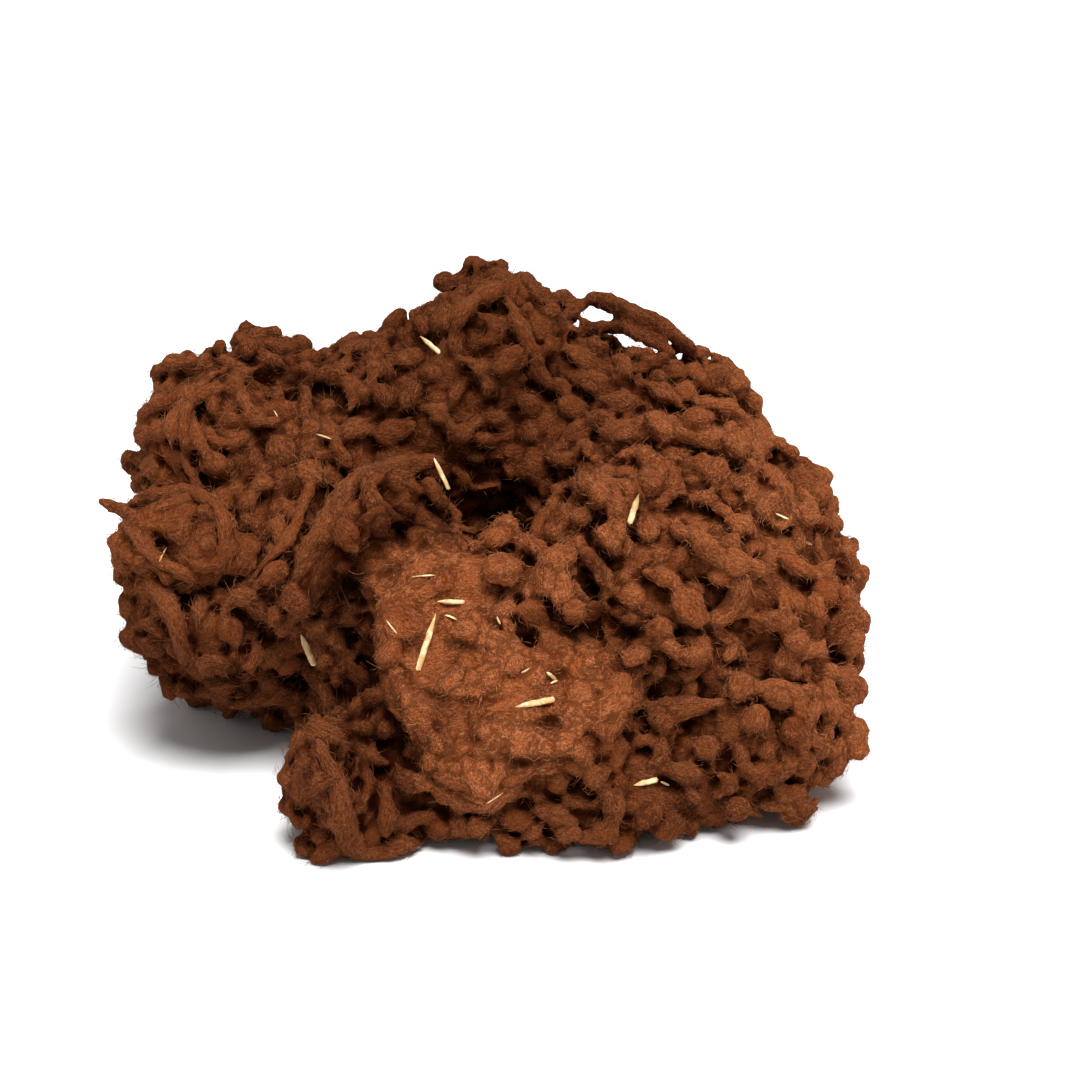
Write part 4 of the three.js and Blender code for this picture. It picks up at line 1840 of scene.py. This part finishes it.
@dataclass
class StrawFlecks:
    """Flecks of straw caught in the wool, and small chaff."""

    nodes: tuple[str, ...]
    rings: int = 20
    sides: int = 10
    feeler: float = 3.0
    feeler_reach: float = 8.0
    touching: float = 85.0
    lowest: float = -2.0
    highest: float = 2.8
    slender: float = 0.72
    rough: float = 0.04

    def build(self, sources: dict[str, bpy.types.Object], wool: Surface, view: Viewpoint) -> None:
        """Shapes each straw where its solid is, lays the chaff and joins them.

        Args:
            sources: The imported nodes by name.
            wool: Everything woollen, as one surface.
            view: Where the picture is seen from.
        """
        parts = [self.fleck(Facets.of_object(sources[node]).points, wool) for node in self.nodes]
        parts += [self.chaff(wool, view, *row) for row in CHAFF]
        settled(Facets.joined(parts).piece("straw_flecks"), STRAW, self.nodes)

    def lines(self, sources: dict[str, bpy.types.Object]) -> np.ndarray:
        """Gives points along all the straws, which no lump covers.

        Args:
            sources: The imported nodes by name.

        Returns:
            The points.
        """
        solids = [Facets.of_object(sources[node]).points for node in self.nodes]
        return np.concatenate([self.lie(points)[0] for points in solids])

    def lie(self, points: np.ndarray) -> tuple[np.ndarray, np.ndarray, np.ndarray]:
        """Finds how one straw lies.

        Args:
            points: The points of its solid.

        Returns:
            Its middle line, the way its flat side faces, and half its length, width and thickness.
        """
        middle = (points.max(axis=0) + points.min(axis=0)) / 2
        axes = np.linalg.svd(points - middle, full_matrices=False)[2]
        half = np.abs((points - middle) @ axes.T).max(axis=0)
        pointed = axes[0] * np.sign(axes[0] @ (-0.3, 0.5, 1.0))
        path = middle + np.linspace(-half[0], half[0], self.rings)[:, None] * pointed
        return path, axes[2] * np.sign(axes[2] @ (0.0, -0.8, 0.6)), half

    def fleck(self, points: np.ndarray, wool: Surface) -> Facets:
        """Lays one straw on the wool: flat, pointed at one end and cut off at the other.

        Args:
            points: The points of its solid.
            wool: Everything woollen, as one surface.

        Returns:
            Its points and triangles.
        """
        path, out, half = self.lie(points)
        starts = [Vector(spot + self.feeler * out) for spot in path]
        hits = [wool.tree.ray_cast(start, Vector(-out), self.feeler_reach)[0] for start in starts]
        rises = [(np.array(hit) - spot) @ out for hit, spot in zip(hits, path) if hit is not None]
        rise = float(np.percentile(rises, self.touching)) if rises else 0.0
        step = np.linspace(-1, 1, self.rings)
        slim = 1 - 0.93 * np.clip((step - 0.1) / 0.9, 0, 1) ** 1.6 - 0.3 * np.clip(-step - 0.6, 0, 1)
        lifted = path + out * (min(max(rise, self.lowest), self.highest) + 0.4 * half[2])
        return self.blade(lifted, out, half[1] * slim * self.slender, half[2] / half[1])

    def chaff(self, wool: Surface, view: Viewpoint, start: Pixel, end: Pixel, width: float) -> Facets:
        """Lays one bit of chaff on the wool.

        Args:
            wool: Everything woollen, as one surface.
            view: Where the picture is seen from.
            start: One end's pixel.
            end: The other end's pixel.
            width: Its width.

        Returns:
            Its points and triangles.
        """
        found = [view.landing(wool, pixel, 0.1, LEAST_REST) for pixel in (start, end)]
        (first, out), (last, _) = ((np.array(place), np.array(normal)) for place, normal in found)
        step = np.linspace(0, 1, self.rings)
        path = first + step[:, None] * (last - first) + np.outer(0.2 + 0.6 * step * (1 - step), out)
        return self.blade(path, out, width / 2 * np.maximum(1 - (2 * step - 1) ** 4, 0.2), 0.4)

    def blade(self, path: np.ndarray, out: np.ndarray, girths: np.ndarray, flat: float) -> Facets:
        """Wraps one flat blade round a path.

        Args:
            path: Its middle line.
            out: The way its flat side faces.
            girths: Half its width along the path.
            flat: Its thickness as a share of its width.

        Returns:
            Its points and triangles.
        """
        ways = np.broadcast_to(out, path.shape)
        tones = np.array([MIDDLE_TONE])
        return tubes(path[None], ways[None], girths[None], tones, self.sides, flat, self.rough)


@dataclass
class Studio:
    """The pale floor, the soft light and the camera."""

    view: Viewpoint
    floor_side: float = 8.0
    floor_depth: float = 0.0001
    floor_colour: Colour = (0.93, 0.93, 0.93)
    lamp_place: Spot = (0.12, -0.32, 0.95)
    lamp_strength: float = 5.3
    lamp_spread: float = 36.0
    surround: float = 0.32

    def build(self) -> None:
        """Makes the floor, the lights and the camera."""
        self.floor()
        self.lights()
        self.camera()

    def floor(self) -> None:
        """Lays the floor just under the heap."""
        bpy.ops.object.select_all(action="DESELECT")
        bpy.ops.mesh.primitive_plane_add(size=self.floor_side, location=(0, 0, -self.floor_depth))
        floor = bpy.context.active_object
        floor.name = "floor"
        values = {"Base Color": (*self.floor_colour, 1.0), "Roughness": 0.9, "Specular IOR Level": 0.1}
        floor.data.materials.append(new_material("pale_floor", values))

    def lights(self) -> None:
        """Sets an even surround and one large soft lamp above and a little in front."""
        world = bpy.data.worlds.new("bright_room")
        world.use_nodes = True
        background = world.node_tree.nodes["Background"]
        background.inputs["Color"].default_value = (1.0, 1.0, 1.0, 1.0)
        background.inputs["Strength"].default_value = self.surround
        bpy.context.scene.world = world
        bpy.context.scene.view_settings.view_transform = "Standard"
        bpy.ops.object.light_add(type="SUN", location=self.lamp_place)
        lamp = bpy.context.active_object
        lamp.name = "soft_lamp"
        lamp.data.energy = self.lamp_strength
        lamp.data.angle = math.radians(self.lamp_spread)
        aim = Vector(self.view.aim) * MM - lamp.location
        lamp.rotation_euler = aim.to_track_quat("-Z", "Y").to_euler()

    def camera(self) -> None:
        """Sets the camera at the picture's place."""
        bpy.ops.object.camera_add(location=self.view.eye() * MM)
        camera = bpy.context.active_object
        camera.data.sensor_width = self.view.sensor
        camera.data.lens = self.view.focal * self.view.sensor / PICTURE_SIDE
        camera.data.clip_start = 0.01
        rise = math.radians(self.view.elevation)
        camera.rotation_euler = (math.radians(90) - rise, 0.0, 0.0)
        bpy.context.scene.camera = camera


def felt_bodies() -> list[FeltBody]:
    """Gives the heap's bodies of wool with the lumps that each is covered with, the mass first.

    Returns:
        The bodies, not yet built.
    """
    on_mass = (
        SlubCrust(count=480, lift=0.45, seed=23),
        NeppCrust(count=240, lift=0.45, seed=16, flat=True),
        NeppCrust(count=2200, lift=0.35, seed=11),
        SlubCrust(count=90, lift=0.5, seed=24, bedding=1.8, loose=True),
        NeppCrust(count=90, lift=1.4, seed=17, loose=True),
        NeppCrust(count=420, lift=0.05, seed=18, everywhere=True, loose=True, on_flap=True),
        NeppCrust(count=200, lift=0.2, seed=19, everywhere=True, flat=True, loose=True, on_flap=True),
        SlubCrust(count=70, lift=0.1, seed=26, bedding=0.0, loose=True, on_flap=True),
    )
    on_leaf = (
        SlubCrust(count=20, lift=0.4, seed=25, bedding=0.0),
        NeppCrust(count=30, lift=0.2, seed=13, everywhere=True),
    )
    on_slubs = (NeppCrust(count=120, lift=0.2, seed=14, everywhere=True),)
    mass = FeltBody(
        "mass_felt", ("matted_mass", "front_flap"), FELT, Relief.LUMPY,
        voxel=0.70, inset=0.0, layers=on_mass, cuts=(-14.0, 19.0),
    )
    leaf = FeltBody(
        "fold_felt", ("left_fold",), FELT, Relief.WRINKLED,
        voxel=0.6, inset=0.9, layers=on_leaf, base_voxel=0.9, smoothing=4,
    )
    slubs = FeltBody(
        "thick_slubs", SLUB_NODES, SLUB_WOOL, Relief.PLAIN,
        voxel=0.6, inset=0.7, layers=on_slubs, base_voxel=0.8, smoothing=3,
    )
    nepps = FeltBody(
        "round_nepps", NEPP_NODES, NEPP_WOOL, Relief.PLAIN,
        voxel=0.5, inset=0.0, base_voxel=0.7, smoothing=3,
    )
    return [mass, leaf, slubs, nepps]


def main() -> None:
    """Builds the heap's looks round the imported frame."""
    logging.basicConfig(level=logging.INFO, format="%(name)s %(message)s")
    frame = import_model()
    sources = frame["nodes"]
    Studio(VIEW).build()
    bodies = felt_bodies()
    straws = StrawFlecks(STRAW_NODES)
    keep_clear = straws.lines(sources)
    for body in bodies:
        body.start(sources)
    spots = hollow_spots(Surface(Facets.joined([body.carrier for body in bodies[:2]])), VIEW)
    for body in bodies:
        body.carve(spots)
    carrier = Surface(Facets.joined([body.carrier for body in bodies[:3]]))
    extra = [
        Strands().laid_on(carrier, VIEW),
        NeppCrust(count=0, lift=0.9, seed=15).single(carrier, VIEW, CLUSTER),
        NeppCrust(count=0, lift=0.35, seed=27).single(carrier, VIEW, KNOBS),
    ]
    for body in bodies:
        body.felt(keep_clear, extra if body is bodies[0] else [])
    skins = [body.skin for body in bodies]
    wool = Surface(Facets.joined(skins))
    for body in bodies:
        body.dress(wool, spots)
    wool.facets.opens = np.concatenate([skin.opens for skin in skins])
    straws.build(sources, wool, VIEW)
    Fuzz().build(wool)


if __name__ == "__main__":
    main()
